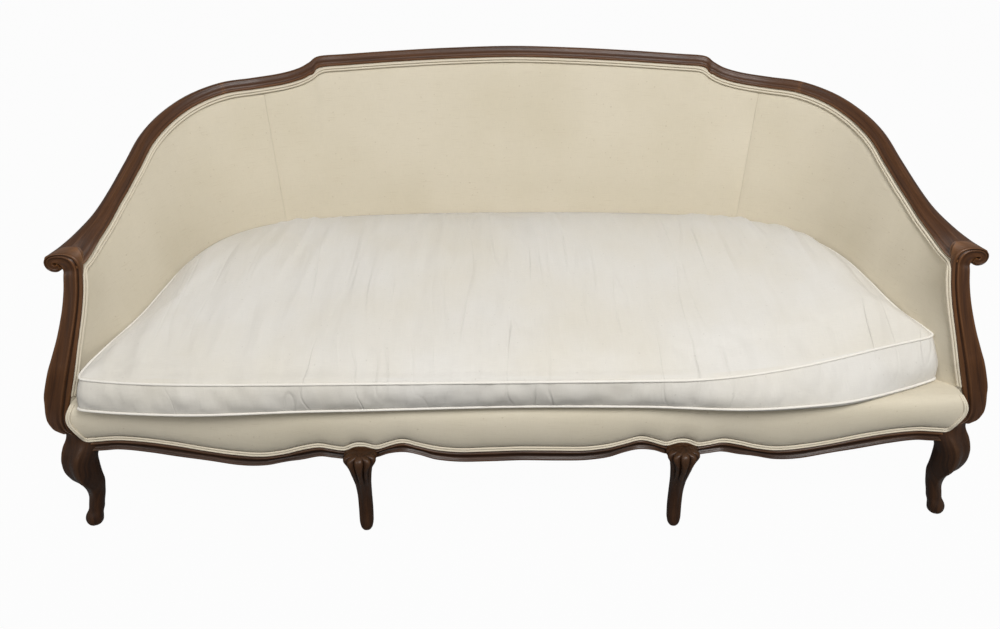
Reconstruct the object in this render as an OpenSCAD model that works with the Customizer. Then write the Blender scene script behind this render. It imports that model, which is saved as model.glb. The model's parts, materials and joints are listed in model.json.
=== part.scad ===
// Long upholstered canape: a carved show-wood frame round a wrap-around back,
// a sprung seat on eight legs and one loose bench cushion.
// Lengths are in millimetres, +Z is up and the front faces -Y.

/* [Overall] */
// Width over the two arm posts at their widest bulge
sofa_w = 2040; // [1860:10:2200]
// Depth from the knees of the middle legs to the back of the crest
sofa_d = 857; // [800:1:930]
// Height of the middle of the crest
crest_h = 905; // [860:1:960]

/* [Seat] */
// Height of the top of the seat rails
rail_top_h = 285; // [275:1:292]
// Height of the underside of the hidden seat rails
rail_low_h = 212; // [206:1:220]
// Height of the sprung deck that the cushion lies on
deck_h = 326; // [320:1:340]
// Thickness of the front rail from face to back
rail_t = 48; // [44:1:54]
// Distance between the spring rows, front to back
spring_pitch_y = 165; // [145:1:175]
// Distance between neighbouring springs along a row
spring_pitch_x = 200; // [180:1:215]
// Number of springs in a row
spring_count = 7; // [5:2:7]
// Number of rows of springs
spring_rows = 3; // [2:1:3]
// Radius of a spring's end coils
spring_r = 38; // [30:1:44]
// Thickness of the spring wire
wire_t = 4; // [3:0.5:5]

/* [Wall] */
// Width of the top rail from its inner edge to the ridge
rail_in_w = 17; // [14:1:20]
// Width of the top rail from the ridge to its outer edge
rail_out_w = 17; // [12:1:20]
// Height of the top rail's face
rail_face_h = 24; // [20:1:28]
// Thickness of the whole wall where it meets the seat rails
wall_foot_t = 72; // [66:1:80]
// Thickness of the cover fabric
fabric_t = 1.6; // [1.2:0.1:2]
// Thickness of the fabric and wadding on the outside
outside_t = 3.5; // [3:0.1:4.5]
// Thickness of hessian cloth
hessian_t = 1; // [0.8:0.1:1.4]
// Width of the cord in the double welt
welt_w = 5.5; // [4.5:0.1:6.5]

/* [Legs] */
// Half width of a corner leg at its knee
knee_r = 33; // [29:1:36]
// Half width of a middle leg at its ankle
slim_r = 16; // [14:1:18]
// Width of a rear leg at its top
rear_leg_w = 40; // [36:1:44]
// How far the rear legs rake back
rear_rake = 45; // [30:1:60]

/* [Cushion] */
// Height of the cushion's front edge above the deck
cushion_front_h = 74; // [66:1:82]
// Height of the cushion's rear edge above the deck
cushion_rear_h = 150; // [130:1:160]
// Extra height of the crown in the middle
crown_h = 26; // [16:1:34]
// How far the right-hand front corner sits back
cushion_skew = 100; // [0:1:110]

/* [Hidden] */

walnut = [0.29, 0.19, 0.13];
beech = [0.78, 0.62, 0.43];
cream = [0.85, 0.80, 0.70];
white_linen = [0.91, 0.90, 0.86];
jute = [0.66, 0.53, 0.36];
hair = [0.45, 0.38, 0.30];
steel = [0.55, 0.56, 0.58];
cambric = [0.16, 0.16, 0.17];

half_w = sofa_w / 2;
front_y = -sofa_d / 2;
// Running gap between neighbouring pieces
gap = 0.4;
// Overrun of a cut past the face it opens
cut = 1;

// Ridge of the top rail from the middle of the crest to the scroll:
// shares of half_w, of sofa_d from the front, and of crest_h
ridge_shares = [
    [0, 0.9802, 1], [0.157, 0.977, 0.996], [0.294, 0.967, 0.990], [0.422, 0.953, 0.983],
    [0.490, 0.939, 0.9795], [0.515, 0.933, 0.9635], [0.544, 0.926, 0.948],
    [0.588, 0.912, 0.937], [0.652, 0.889, 0.930], [0.721, 0.849, 0.926],
    [0.784, 0.791, 0.908], [0.830, 0.719, 0.880], [0.860, 0.636, 0.844],
    [0.877, 0.554, 0.798], [0.892, 0.467, 0.754], [0.907, 0.391, 0.720],
    [0.925, 0.315, 0.697], [0.936, 0.257, 0.688], [0.943, 0.216, 0.686]
];
// Inner face of the wall at the seat rails, below the same places:
// shares of half_w and of sofa_d from the front
foot_shares = [
    [0, 0.812], [0.147, 0.811], [0.275, 0.805], [0.392, 0.793], [0.456, 0.783],
    [0.480, 0.777], [0.507, 0.770], [0.544, 0.758], [0.593, 0.739], [0.642, 0.706],
    [0.688, 0.656], [0.723, 0.593], [0.747, 0.523], [0.763, 0.453], [0.777, 0.376],
    [0.796, 0.307], [0.833, 0.239], [0.887, 0.175], [0.936, 0.114]
];
last = len(ridge_shares) - 1;
// Places along the wall, counted in control points from the middle of the crest
crest_end = 9;
panel_seam = 7.7;
outside_seam = 9.9;
outside_step = 17.3;
post_blend_start = 14;
// Levels up the wall that the covers are drawn through
back_level_shares = [0, 0.5, 1];
arm_level_shares = [0, 0.16, 0.4, 0.7, 1];

function lerp(a, b, u) = a + (b - a) * u;
function smooth(u) = let (w = max(0, min(1, u))) w * w * (3 - 2 * w);
function unit(p) = p / norm(p);
function tail(points) = [for (i = [1:len(points) - 1]) points[i]];
function flip(p) = len(p) == 3 ? [-p[0], p[1], p[2]] : [-p[0], p[1]];
function backwards(points) = [for (i = [len(points) - 1:-1:0]) points[i]];
function both_sides(points) = concat([for (p = backwards(tail(points))) flip(p)], points);

// Point on a smooth curve that runs through the listed points
function along(points, t) =
    let (
        n = len(points),
        k = min(n - 2, max(0, floor(t))),
        u = t - k,
        b = points[k],
        c = points[k + 1],
        a = k == 0 ? 2 * b - c : points[k - 1],
        d = k + 2 < n ? points[k + 2] : 2 * c - b
    )
    0.5 * (2 * b + (c - a) * u + (2 * a - 5 * b + 4 * c - d) * u * u
        + (3 * b - a - 3 * c + d) * u * u * u);

ridge_line = both_sides([
    for (p = ridge_shares) [p[0] * half_w, front_y + p[1] * sofa_d, p[2] * crest_h]
]);
foot_line = both_sides([for (p = foot_shares) [p[0] * half_w, front_y + p[1] * sofa_d]]);

// Named places along the wall run from -last at the left post to last at the right one
slope_step = 0.02;
function ridge(t) = along(ridge_line, t + last);
function foot(t) = along(foot_line, t + last);
function inside_step(t) = t > 0 ? [t - slope_step, t] : [t, t + slope_step];
function ridge_run(t) = let (s = inside_step(t)) ridge(s[1]) - ridge(s[0]);
function foot_run(t) = let (s = inside_step(t)) foot(s[1]) - foot(s[0]);
function outward(run) = unit([-run[1], run[0]]);
function wall_out(t, v) = unit(lerp(outward(foot_run(t)), outward(ridge_run(t)), v));
// Share of the way from the plain wall to its end at the post
function post_share(t) = smooth((abs(t) - post_blend_start) / (last - post_blend_start));

// The top rail widens towards the scroll
scroll_in_w = 57;
function inner_w(t) = lerp(rail_in_w, scroll_in_w, post_share(t));
// A sloping rail is taller where it is cut upright
steepest_lift = 1.45;
function rail_lift(t) =
    let (run = ridge_run(t))
    min(steepest_lift, norm(run) / norm([run[0], run[1]]));
function wall_top(t) =
    let (
        r = ridge(t),
        out = outward(ridge_run(t)),
        w = inner_w(t)
    )
    [r[0] - out[0] * w, r[1] - out[1] * w, r[2] - rail_face_h * rail_lift(t)];

// The end of the wall leans in above the bulge of the post
post_lean = 14;
post_foot_w = 52;
post_waist_w = 41;
function wall_t(t, v) =
    lerp(
        lerp(wall_foot_t, rail_in_w + rail_out_w, v),
        lerp(post_foot_w, post_waist_w, v),
        post_share(t)
    );
// Point of the wall at place t, height share v and depth n behind the inner face
function wall(t, v, n) =
    let (
        f = foot(t),
        top = wall_top(t),
        out = wall_out(t, v),
        lean = post_lean * post_share(t) * sin(180 * v) * sign(t)
    )
    [
        lerp(f[0], top[0], v) - lean + out[0] * n,
        lerp(f[1], top[1], v) + out[1] * n,
        lerp(rail_top_h, top[2], v)
    ];

function level_at(t, z) = (z - rail_top_h) / (wall_top(t)[2] - rail_top_h);
function wall_edge(t, z, inset) = wall(t, level_at(t, z), -inset);

// Layers of the wall, counted from the inner face
pad_foot_share = 0.56;
pad_top_share = 0.28;
post_pad_t = 9;
function pad_n(t, v) =
    lerp(wall_t(t, v) * lerp(pad_foot_share, pad_top_share, v), post_pad_t, post_share(t));
function layer_n(t, v, layer) = layer[0] * pad_n(t, v) + layer[1] * wall_t(t, v) + layer[2];

// Stations closer together where the wall bends, and one at each seam
fine_places = [[4, 6.6], [9, 13], [14.4, 16.6]];
function is_fine(t) = max([for (q = fine_places) t > q[0] && t < q[1] ? 1 : 0]) > 0;
seam_places = [panel_seam, outside_seam, outside_step];
seam_reach = 0.25;
function near_seam(t) = min([for (q = seam_places) abs(abs(t) - q)]) < seam_reach;
grid = [
    for (t = [-last:0.5:last]) if ((t == round(t) || is_fine(abs(t))) && !near_seam(t)) t
];
place_margin = 0.05;
function stations(a, b) = concat(
    [a],
    [
        for (i = [0:len(grid) - 1])
        let (
            t = grid[i],
            before = i == 0 ? -last - 1 : grid[i - 1],
            seams = [
                for (q = concat(-1 * backwards(seam_places), seam_places)) if (q > before && q < t) q
            ]
        )
        for (w = concat(seams, [t])) if (w > a + place_margin && w < b - place_margin) w
    ],
    [b]
);

// Solid through a row of rings with as many points each; the first bands can be split
// along their other diagonal
module loft(rings, turned = 0) {
    n = len(rings);
    m = len(rings[0]);
    polyhedron(
        points = [for (ring = rings) for (p = ring) p],
        faces = concat(
            [[for (j = [0:m - 1]) j]],
            [[for (j = [m - 1:-1:0]) (n - 1) * m + j]],
            [
                for (i = [0:n - 2]) for (j = [0:m - 1])
                let (k = (j + 1) % m, a = i * m + j, b = a + m, c = i * m + m + k, d = c - m)
                each (i < turned ? [[a, b, d], [b, c, d]] : [[a, b, c], [a, c, d]])
            ]
        )
    );
}

// Closed sheet between two grids of points, the near one towards the seat
module slab(near, far) {
    n = len(near);
    k = len(near[0]);
    f = n * k;
    polyhedron(
        points = concat([for (row = near) for (p = row) p], [for (row = far) for (p = row) p]),
        faces = concat(
            [
                for (i = [0:n - 2]) for (j = [0:k - 2])
                let (a = i * k + j, b = a + 1, c = a + k + 1, d = a + k)
                each [[a, b, c], [a, c, d], [f + a, f + c, f + b], [f + a, f + d, f + c]]
            ],
            [
                for (i = [0:n - 2])
                let (a = i * k, d = a + k, b = a + k - 1, c = d + k - 1)
                each [[a, d, f + d], [a, f + d, f + a], [b, f + c, c], [b, f + b, f + c]]
            ],
            [
                for (j = [0:k - 2])
                let (a = j, b = a + 1, d = (n - 1) * k + j, c = d + 1)
                each [[a, f + a, f + b], [a, f + b, b], [d, f + c, f + d], [d, c, f + c]]
            ]
        )
    );
}

// A side piece is drawn once for the right and mirrored for the left
module side(sign_x) {
    mirror([sign_x < 0 ? 1 : 0, 0, 0]) children();
}

// Each layer as shares of the padding depth and of the wall depth, and a length
frame_gap = 1;
cover_near = [0, 0, 0];
cover_far = [0, 0, fabric_t];
pad_near = [0, 0, fabric_t + gap];
pad_far = [1, 0, 0];
hessian_near = [1, 0, gap];
hessian_far = [1, 0, gap + hessian_t];
frame_near = [1, 0, hessian_t + 2 * gap + frame_gap];
frame_far = [0, 1, -outside_t - gap - frame_gap];
outside_near = [0, 1, -outside_t];
outside_far = [0, 1, 0];

// Layer of the wall between two places, with the rows of points that end it
module wall_layer(a, b, levels, near, far, end_near = [], end_far = []) {
    places = stations(a, b);
    slab(
        concat([for (t = places) [for (v = levels) wall(t, v, layer_n(t, v, near))]], end_near),
        concat([for (t = places) [for (v = levels) wall(t, v, layer_n(t, v, far))]], end_far)
    );
}

// Section of the top rail: shares of the inner or outer width, and of the height
rail_inner_shares = [[0, 0], [0, 0.2], [0.2, 0.34], [0.45, 0.6], [0.75, 0.92], [1, 1]];
rail_outer_shares = [[0.55, 0.93], [0.93, 0.66], [1, 0.4], [1, 0]];
function rail_ring(t) =
    let (
        low = wall_top(t),
        out = outward(ridge_run(t)),
        w = inner_w(t),
        h = rail_face_h * rail_lift(t)
    )
    concat(
        [for (p = rail_inner_shares) [low[0] + out[0] * w * p[0], low[1] + out[1] * w * p[0], low[2] + gap + h * p[1]]],
        [
            for (p = rail_outer_shares)
            let (n = w + rail_out_w * p[0])
            [low[0] + out[0] * n, low[1] + out[1] * n, low[2] + gap + h * p[1]]
        ]
    );
module top_rail(a, b) {
    loft([for (t = stations(a, b)) backwards(rail_ring(t))]);
}

module crest_rail() {
    color(walnut) top_rail(-crest_end, crest_end);
}

// A glued joint's width, as a share of one control point
joint_share = 0.006;
// The arm rail runs on over the post's top and butts against the scroll
scroll_step = 12;
function ahead(p, d) =
    let (run = ridge_run(last), u = unit([run[0], run[1]]))
    [p[0] + u[0] * d, p[1] + u[1] * d, p[2]];
module arm_rail(s) {
    color(walnut) side(s) loft([
        for (ring = concat(
            [for (t = stations(crest_end + joint_share, last)) rail_ring(t)],
            [[for (p = rail_ring(last)) ahead(p, scroll_step - gap)]]
        ))
        backwards(ring)
    ]);
}

// Arm post below the seat rails' top: height as a share of rail_top_h, inner and outer
// places as shares of half_w, and the front face as a share of sofa_d from the front
post_low_shares = [
    [0.8772, 0.939, 0.966, 0.0725], [0.919, 0.951, 0.986, 0.0712], [0.965, 0.953, 0.999, 0.077]
];
// Above it, one row for each arm level: inner and outer places and the front face
post_high_shares = [
    [0.9525, 1.000, 0.0855], [0.9385, 0.996, 0.100], [0.9164, 0.968, 0.118],
    [0.894, 0.935, 0.154], [0.884, 0.925, 0.189]
];
post_edge = 6;
post_gap = 0.6;
post_lip = 8;
post_rows = concat(
    [for (p = post_low_shares) [p[0] * rail_top_h, p[1] * half_w, p[2] * half_w, front_y + p[3] * sofa_d, 0]],
    [
        for (i = [0:len(arm_level_shares) - 1])
        let (p = post_high_shares[i], v = arm_level_shares[i])
        [
            lerp(rail_top_h, wall_top(last)[2], v),
            p[0] * half_w, p[1] * half_w, front_y + p[2] * sofa_d, v
        ]
    ]
);
function post_ring(row, z) =
    let (
        xi = row[1],
        xo = row[2],
        y = row[3],
        v = row[4],
        rabbet = post_pad_t + gap,
        a = ahead(wall(last, v, rabbet), post_gap),
        b = ahead(wall(last, v, wall_t(last, v)), post_gap)
    )
    [
        [xi, y + post_edge * 0.7, z],
        [xi + post_edge * 0.6, y, z],
        [lerp(xi, xo, 0.42), y - post_edge * 0.4, z],
        [xo - post_edge, y + post_edge * 0.4, z],
        [xo, y + post_edge * 1.6, z],
        [max(xo - post_edge * 0.3, b[0]), b[1] - post_edge, z],
        [b[0], b[1], z],
        [a[0], a[1], z],
        [xi + rabbet, y + post_lip, z],
        [xi, y + post_lip, z]
    ];
// Row of points where a layer of the arm ends against the post's front lip
function post_end(n) = [
    for (row = post_rows) if (row[0] >= rail_top_h) [row[1] + n, row[3] + post_lip + gap, row[0]]
];

// Scroll on top of the post: places outwards from the inner edge and up from the rail
scroll_r = 19;
scroll_n = 50;
scroll_d = 38;
scroll_root = 18;
scroll_top_shares = [[0, 0.5], [0.12, 1.0], [1, 0.94]];
scroll_tail_share = 0.9;
scroll_drop_share = 0.05;
scroll_steps = 14;
function scroll_round(a) = [
    scroll_n + scroll_r * cos(a),
    scroll_r * (sin(a) - scroll_drop_share)
];
module scroll_head() {
    out = outward(ridge_run(last));
    translate(ahead(wall_top(last), scroll_step))
    rotate([90, 0, atan2(out[1], out[0])])
    linear_extrude(scroll_d - scroll_step)
    polygon(concat(
        [[0, -scroll_root]],
        [for (p = scroll_top_shares) [p[0] * scroll_n, p[1] * scroll_r]],
        [for (i = [1:scroll_steps]) scroll_round(90 - 225 * i / scroll_steps)],
        [[post_waist_w * scroll_tail_share, -scroll_root]]
    ));
}
module arm_post(s) {
    color(walnut) side(s) difference() {
        union() {
            loft([for (row = post_rows) post_ring(row, row[0])]);
            scroll_head();
        }
        dowel_bore();
    }
}

// Dowels that tie each arm post to its leg
dowel_r = 4;
dowel_l = 50;
dowel_x_share = 0.956;
dowel_y_share = 0.109;
post_seat_share = 0.875;
module dowel_place() {
    translate([dowel_x_share * half_w, front_y + dowel_y_share * sofa_d, post_seat_share * rail_top_h])
    children();
}
module dowel_bore() {
    dowel_place() translate([0, 0, -dowel_l / 2]) cylinder(dowel_l, r = dowel_r + gap / 4, $fn = 32);
}
module leg_dowels() {
    color(beech) for (s = [-1, 1]) side(s) dowel_place()
    translate([0, 0, gap - dowel_l / 2]) cylinder(dowel_l - 2 * gap, r = dowel_r, $fn = 32);
}

// Front legs of the middle: place of their centre line and size of the carved fan
leg_mid_share = 0.343;
leg_x = leg_mid_share * half_w;
fan_r = 36;
fan_shares = [
    [-1, 0.735], [-0.5, 0.755], [0, 0.765], [0.5, 0.753], [1, 0.72]
];
fan_side_share = 0.695;
fan_base_share = 0.66;
fan_base_r = 27;
notch_r = fan_r + gap;

// Front rail: place along its bay, height of the welt ledge and of the lower edge,
// the heights as shares of rail_top_h
middle_bay_shares = [
    [0, 0.728, 0.640], [0.25, 0.721, 0.632], [0.44, 0.7175, 0.632], [0.6, 0.740, 0.656],
    [0.73, 0.781, 0.709], [0.82, 0.812, 0.730], [0.92, 0.782, 0.719], [0.999, 0.748, 0.684]
];
side_bay_shares = [
    [0.001, 0.735, 0.667], [0.05, 0.753, 0.680], [0.1, 0.772, 0.691], [0.18, 0.744, 0.660],
    [0.24, 0.709, 0.642], [0.335, 0.681, 0.604], [0.44, 0.693, 0.604], [0.575, 0.733, 0.649],
    [0.69, 0.779, 0.684], [0.815, 0.816, 0.726], [0.93, 0.832, 0.751], [1, 0.821, 0.740]
];
rail_end_share = 0.886;
rail_end = rail_end_share * half_w;
face_set_back = 40;
face_bow = 20;
ledge_in = 14;
ledge_h = 4;
bead_h = 4;
cove_in = 4;
function face_y(x) = front_y + face_set_back + face_bow * (x / half_w) * (x / half_w);

// Rows of [x, ledge height, lower edge] for the right half of the front rail
half_rail_rows = concat(
    [
        for (p = middle_bay_shares)
        [p[0] * (leg_x - notch_r), p[1] * rail_top_h, p[2] * rail_top_h]
    ],
    [
        for (p = fan_shares)
        [leg_x + p[0] * notch_r, p[1] * rail_top_h + ledge_h + gap, p[1] * rail_top_h + gap]
    ],
    [
        for (p = side_bay_shares)
        [lerp(leg_x + notch_r, rail_end, p[0]), p[1] * rail_top_h, p[2] * rail_top_h]
    ]
);
rail_rows = concat(
    [for (r = backwards(tail(half_rail_rows))) [-r[0], r[1], r[2]]],
    half_rail_rows
);
function rail_ring_at(row) =
    let (x = row[0], ledge = row[1], low = row[2], y = face_y(x), under = max(low, rail_low_h))
    [
        [x, y + rail_t * 0.7, under],
        [x, y + cove_in * 0.5, low],
        [x, y - cove_in * 0.3, low + min(bead_h, (ledge - low) * 0.3)],
        [x, y + cove_in, low + (ledge - low) * 0.5],
        [x, y + cove_in * 0.5, ledge - (ledge - low) * 0.15],
        [x, y + cove_in * 1.6, ledge],
        [x, y + ledge_in, ledge + gap],
        [x, y + ledge_in, rail_top_h],
        [x, y + rail_t, rail_top_h],
        [x, y + rail_t, under + bead_h]
    ];
module front_rail() {
    color(walnut) loft([for (row = rail_rows) backwards(rail_ring_at(row))]);
}

// Rounded square ring of a leg, with its half sizes, at a height
leg_sides = 10;
leg_round_share = 0.7;
function leg_ring(cx, cy, rx, ry, z) = [
    for (i = [0:leg_sides - 1])
    let (a = 360 * (i + 0.5) / leg_sides, c = cos(a), s = sin(a))
    [
        cx + rx * sign(c) * pow(abs(c), leg_round_share),
        cy + ry * sign(s) * pow(abs(s), leg_round_share),
        z
    ]
];

// Corner leg: height as a share of rail_top_h, outward swing of its centre and half
// width, both as shares of knee_r
corner_leg_shares = [
    [0, 0.42, 0.36], [0.03, 0.42, 0.53], [0.09, 0.34, 0.53], [0.175, 0.12, 0.5],
    [0.245, 0, 0.5], [0.31, -0.04, 0.56], [0.375, 0, 0.7], [0.445, 0.16, 0.88],
    [0.53, 0.25, 1], [0.63, 0.26, 1.01], [0.70, 0.1, 1.03], [0.78, -0.09, 1.03]
];
corner_x_share = 0.9415;
corner_y_share = 0.0885;
block_in_share = 0.8866;
block_out_share = 0.9657;
block_low_share = 0.72;
post_side_share = 0.9375;
cover_seat = 16;
module front_leg(s) {
    cx = corner_x_share * half_w;
    cy = front_y + corner_y_share * sofa_d;
    x_in = block_in_share * half_w;
    x_out = block_out_share * half_w;
    x_post = post_side_share * half_w;
    y_face = front_y + 0.07 * sofa_d;
    rail_end_a = wall(outside_step, 0, layer_n(outside_step, 0, frame_near));
    rail_end_b = wall(outside_step, 0, layer_n(outside_step, 0, frame_far));
    run = unit(foot_run(outside_step)) * gap;
    block_z = block_low_share * rail_top_h;
    seat_z = post_seat_share * rail_top_h;
    color(walnut) side(s) difference() {
      union() {
        loft([
            for (p = corner_leg_shares)
            leg_ring(cx + p[1] * knee_r, cy - p[1] * knee_r, p[2] * knee_r, p[2] * knee_r, p[0] * rail_top_h)
        ]);
        translate([0, 0, block_z]) linear_extrude(seat_z - block_z) polygon([
            [x_in, y_face + cover_seat], [x_post + cut, y_face + cover_seat], [x_post + cut, y_face],
            [x_out, y_face], [x_out, rail_end_a[1] + run[1] - cover_seat],
            [rail_end_b[0] + run[0], rail_end_b[1] + run[1]],
            [rail_end_a[0] + run[0], rail_end_a[1] + run[1]], [x_in, rail_end_a[1] - cover_seat]
        ]);
        translate([0, 0, block_z]) linear_extrude(rail_top_h - block_z) polygon([
            [x_in, y_face + cover_seat], [x_post, y_face + cover_seat],
            [x_post, rail_end_a[1] - cover_seat], [x_in, rail_end_a[1] - cover_seat]
        ]);
      }
      dowel_bore();
    }
}

// Middle leg: height as a share of rail_top_h, half width as a share of slim_r, front
// place and half depth as shares of the leg's whole reach forward
mid_leg_shares = [
    [0, 0.5, 0.30, 0.12], [0.025, 0.81, 0.24, 0.18], [0.07, 0.97, 0.25, 0.2],
    [0.175, 1, 0.34, 0.2], [0.315, 1, 0.36, 0.21], [0.44, 1.09, 0.27, 0.25],
    [0.545, 1.28, 0.14, 0.32], [0.614, 1.44, 0.05, 0.4], [0.67, 1.8, 0, 0.46]
];
mid_leg_reach = 76;
fan_front = 2;
fan_back = 72;
module front_leg_mid(s) {
    color(walnut) side(s) union() {
        loft([
            for (p = mid_leg_shares)
            leg_ring(
                leg_x, front_y + (p[2] + p[3]) * mid_leg_reach, p[1] * slim_r,
                p[3] * mid_leg_reach, p[0] * rail_top_h
            )
        ]);
        translate([leg_x, front_y + fan_front, 0]) rotate([90, 0, 0])
        translate([0, 0, fan_front - fan_back]) linear_extrude(fan_back - fan_front)
        polygon(concat(
            [[fan_r, fan_side_share * rail_top_h], [fan_base_r, fan_base_share * rail_top_h]],
            [[slim_r, fan_base_share * rail_top_h - bead_h], [-slim_r, fan_base_share * rail_top_h - bead_h]],
            [[-fan_base_r, fan_base_share * rail_top_h], [-fan_r, fan_side_share * rail_top_h]],
            [for (p = fan_shares) [p[0] * fan_r, p[1] * rail_top_h]]
        ));
    }
}

// Rear leg: height as a share of its own, half width as a share of the top's, rake share
rear_leg_shares = [[0, 0.66, 1], [0.2, 0.68, 0.78], [0.5, 0.78, 0.42], [0.8, 0.92, 0.13], [1, 1, 0]];
rear_corner_place = 9.95;
rear_mid_place = 2.25;
function rear_leg_centre(place) =
    wall(place, 0, (layer_n(place, 0, frame_near) + layer_n(place, 0, frame_far)) / 2);
module rear_leg(s, place) {
    c = rear_leg_centre(place);
    out = wall_out(place, 0);
    h = rail_low_h - gap;
    color(walnut) side(s) loft([
        for (p = rear_leg_shares)
        leg_ring(
            c[0] + out[0] * rear_rake * p[2], c[1] + out[1] * rear_rake * p[2],
            p[1] * rear_leg_w / 2, p[1] * rear_leg_w / 2, p[0] * h
        )
    ]);
}

// Rail of the seat frame between two places of the wall, from its underside up
module seat_rail(a, b) {
    places = stations(a, b);
    slab(
        [for (t = places) let (p = wall(t, 0, layer_n(t, 0, frame_near))) [[p[0], p[1], rail_low_h], p]],
        [for (t = places) let (p = wall(t, 0, layer_n(t, 0, frame_far))) [[p[0], p[1], rail_low_h], p]]
    );
}
rear_rail_end = 9.5;
module rear_seat_rail() {
    color(beech) seat_rail(-rear_rail_end, rear_rail_end);
}
module side_seat_rail(s) {
    color(beech) side(s) seat_rail(rear_rail_end + joint_share, outside_step);
}

// Heights of the tack rails and uprights as shares of the wall's height
top_tack_shares = [0.925, 0.9985];
lower_tack_shares = [0.07, 0.15];
stile_shares = [0.0008, 0.4, 0.7, 0.9242];
// First and last place of each upright along the wall
back_stile = [2, 2.5];
corner_stile = [9.5, 10.5];
module stile(place) {
    wall_layer(place[0], place[1], stile_shares, frame_near, frame_far);
}
module corner_upright(s) {
    color(beech) side(s) stile(corner_stile);
}
module back_upright(s) {
    color(beech) side(s) stile(back_stile);
}
module top_tack_rail() {
    color(beech) wall_layer(-corner_stile[1], corner_stile[1], top_tack_shares, frame_near, frame_far);
}
arm_tack_end = 17.7;
module arm_tack_rail(s) {
    color(beech) side(s) wall_layer(
        corner_stile[1] + joint_share, arm_tack_end, top_tack_shares, frame_near, frame_far
    );
}
module lower_tack_rail() {
    inner = back_stile[0] - joint_share;
    color(beech) {
        wall_layer(-inner, inner, lower_tack_shares, frame_near, frame_far);
        for (s = [-1, 1]) side(s) wall_layer(
            back_stile[1] + joint_share, corner_stile[0] - joint_share, lower_tack_shares,
            frame_near, frame_far
        );
    }
}

// Upholstery of the back and arms
module back_hessian() {
    color(jute) wall_layer(-panel_seam, panel_seam, back_level_shares, hessian_near, hessian_far);
}
module arm_hessian(s) {
    color(jute) side(s)
    wall_layer(panel_seam + joint_share, last, arm_level_shares, hessian_near, hessian_far);
}
module back_stuffing() {
    color(hair) wall_layer(-panel_seam, panel_seam, back_level_shares, pad_near, pad_far);
}
module arm_stuffing(s) {
    color(hair) side(s) wall_layer(
        panel_seam + joint_share, last, arm_level_shares, pad_near, pad_far,
        [post_end(fabric_t + gap)], [post_end(post_pad_t)]
    );
}
module back_cover() {
    color(cream) wall_layer(-panel_seam, panel_seam, back_level_shares, cover_near, cover_far);
}
module arm_cover(s) {
    color(cream) side(s) wall_layer(
        panel_seam + joint_share, last, arm_level_shares, cover_near, cover_far,
        [post_end(0)], [post_end(fabric_t)]
    );
}
function outside_row(t, low, levels, layer) = concat(
    [let (p = wall(t, 0, layer_n(t, 0, layer))) [p[0], p[1], low]],
    [for (v = levels) wall(t, v, layer_n(t, v, layer))]
);
module outside_cover(a, b, levels, low) {
    places = stations(a, b);
    slab(
        [for (t = places) outside_row(t, low, levels, outside_near)],
        [for (t = places) outside_row(t, low, levels, outside_far)]
    );
}
module outside_back_cover() {
    color(cream) outside_cover(-outside_seam, outside_seam, back_level_shares, rail_low_h);
}
// The outside arm steps up over the corner leg's block
module outside_arm_cover(s) {
    color(cream) side(s) {
        outside_cover(outside_seam + joint_share, outside_step, arm_level_shares, rail_low_h);
        outside_cover(outside_step, last, arm_level_shares, post_seat_share * rail_top_h + gap);
    }
}

// Double welt: two cords side by side, as one ring of points across and along the face
welt_ring_shares = [[-0.5, 0.5], [0, 1], [0.5, 0.5], [0.25, 0], [0.5, -0.5], [0, -1], [-0.5, -0.5]];
wall_welt_drop = 7;
module wall_welt() {
    places = stations(-last, last);
    color(cream) loft([
        for (t = places)
        let (z = wall_top(t)[2] - wall_welt_drop)
        backwards([
            for (q = welt_ring_shares)
            wall_edge(t, z + q[1] * welt_w, (0.5 - q[0]) * welt_w + gap)
        ])
    ]);
}
welt_in = 10;
welt_end_share = 0.927;
welt_end_rise_share = 0.8;
welt_end_x = welt_end_share * half_w;
half_welt_x = concat(
    [for (r = half_rail_rows) r[0]],
    [(rail_end + welt_end_x) / 2, welt_end_x]
);
welt_x = concat([for (x = backwards(tail(half_welt_x))) -x], half_welt_x);
ledge_table = concat(
    [for (r = half_rail_rows) [r[0], r[1]]],
    [[welt_end_x, welt_end_rise_share * rail_top_h]]
);
function ledge_z(x) = lookup(abs(x), ledge_table);
module front_welt() {
    color(cream) loft([
        for (x = welt_x)
        backwards([
            for (q = welt_ring_shares)
            [x, face_y(x) + welt_in + q[0] * welt_w, ledge_z(x) + 2 * gap + (1 + q[1]) * welt_w]
        ])
    ]);
}

// Stuffed front border with its roll up to the deck: places back from the rail's face
border_reach = 60;
border_end_reach = 22;
border_narrow_share = 0.84;
border_bulge = 9;
border_foot_in = 2;
function border_back(x) =
    let (narrow = border_narrow_share * half_w)
    lerp(border_reach, border_end_reach, smooth((abs(x) - narrow) / (welt_end_x - narrow)));
function border_ring(x) =
    let (
        y = face_y(x),
        foot_z = ledge_z(x) + 3 * gap + 2 * welt_w,
        h = deck_h - foot_z,
        seat_z = rail_top_h + gap,
        back = y + border_back(x)
    )
    [
        [x, y + ledge_in - gap, foot_z],
        [x, y + border_foot_in, foot_z],
        [x, y - border_bulge * 0.7, foot_z + h * 0.22],
        [x, y - border_bulge, foot_z + h * 0.5],
        [x, y - border_bulge * 0.6, foot_z + h * 0.76],
        [x, y + border_bulge * 0.3, foot_z + h * 0.94],
        [x, y + border_bulge * 2, deck_h],
        [x, back, deck_h],
        [x, back, seat_z],
        [x, y + ledge_in - gap, seat_z]
    ];
module front_border() {
    color(cream) loft([for (x = welt_x) backwards(border_ring(x))]);
}

// Cross braces between the front and rear seat rails, and blocks in the front corners
brace_share = 0.294;
brace_w = 30;
brace_shares = [0.79, 0.93];
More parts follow.
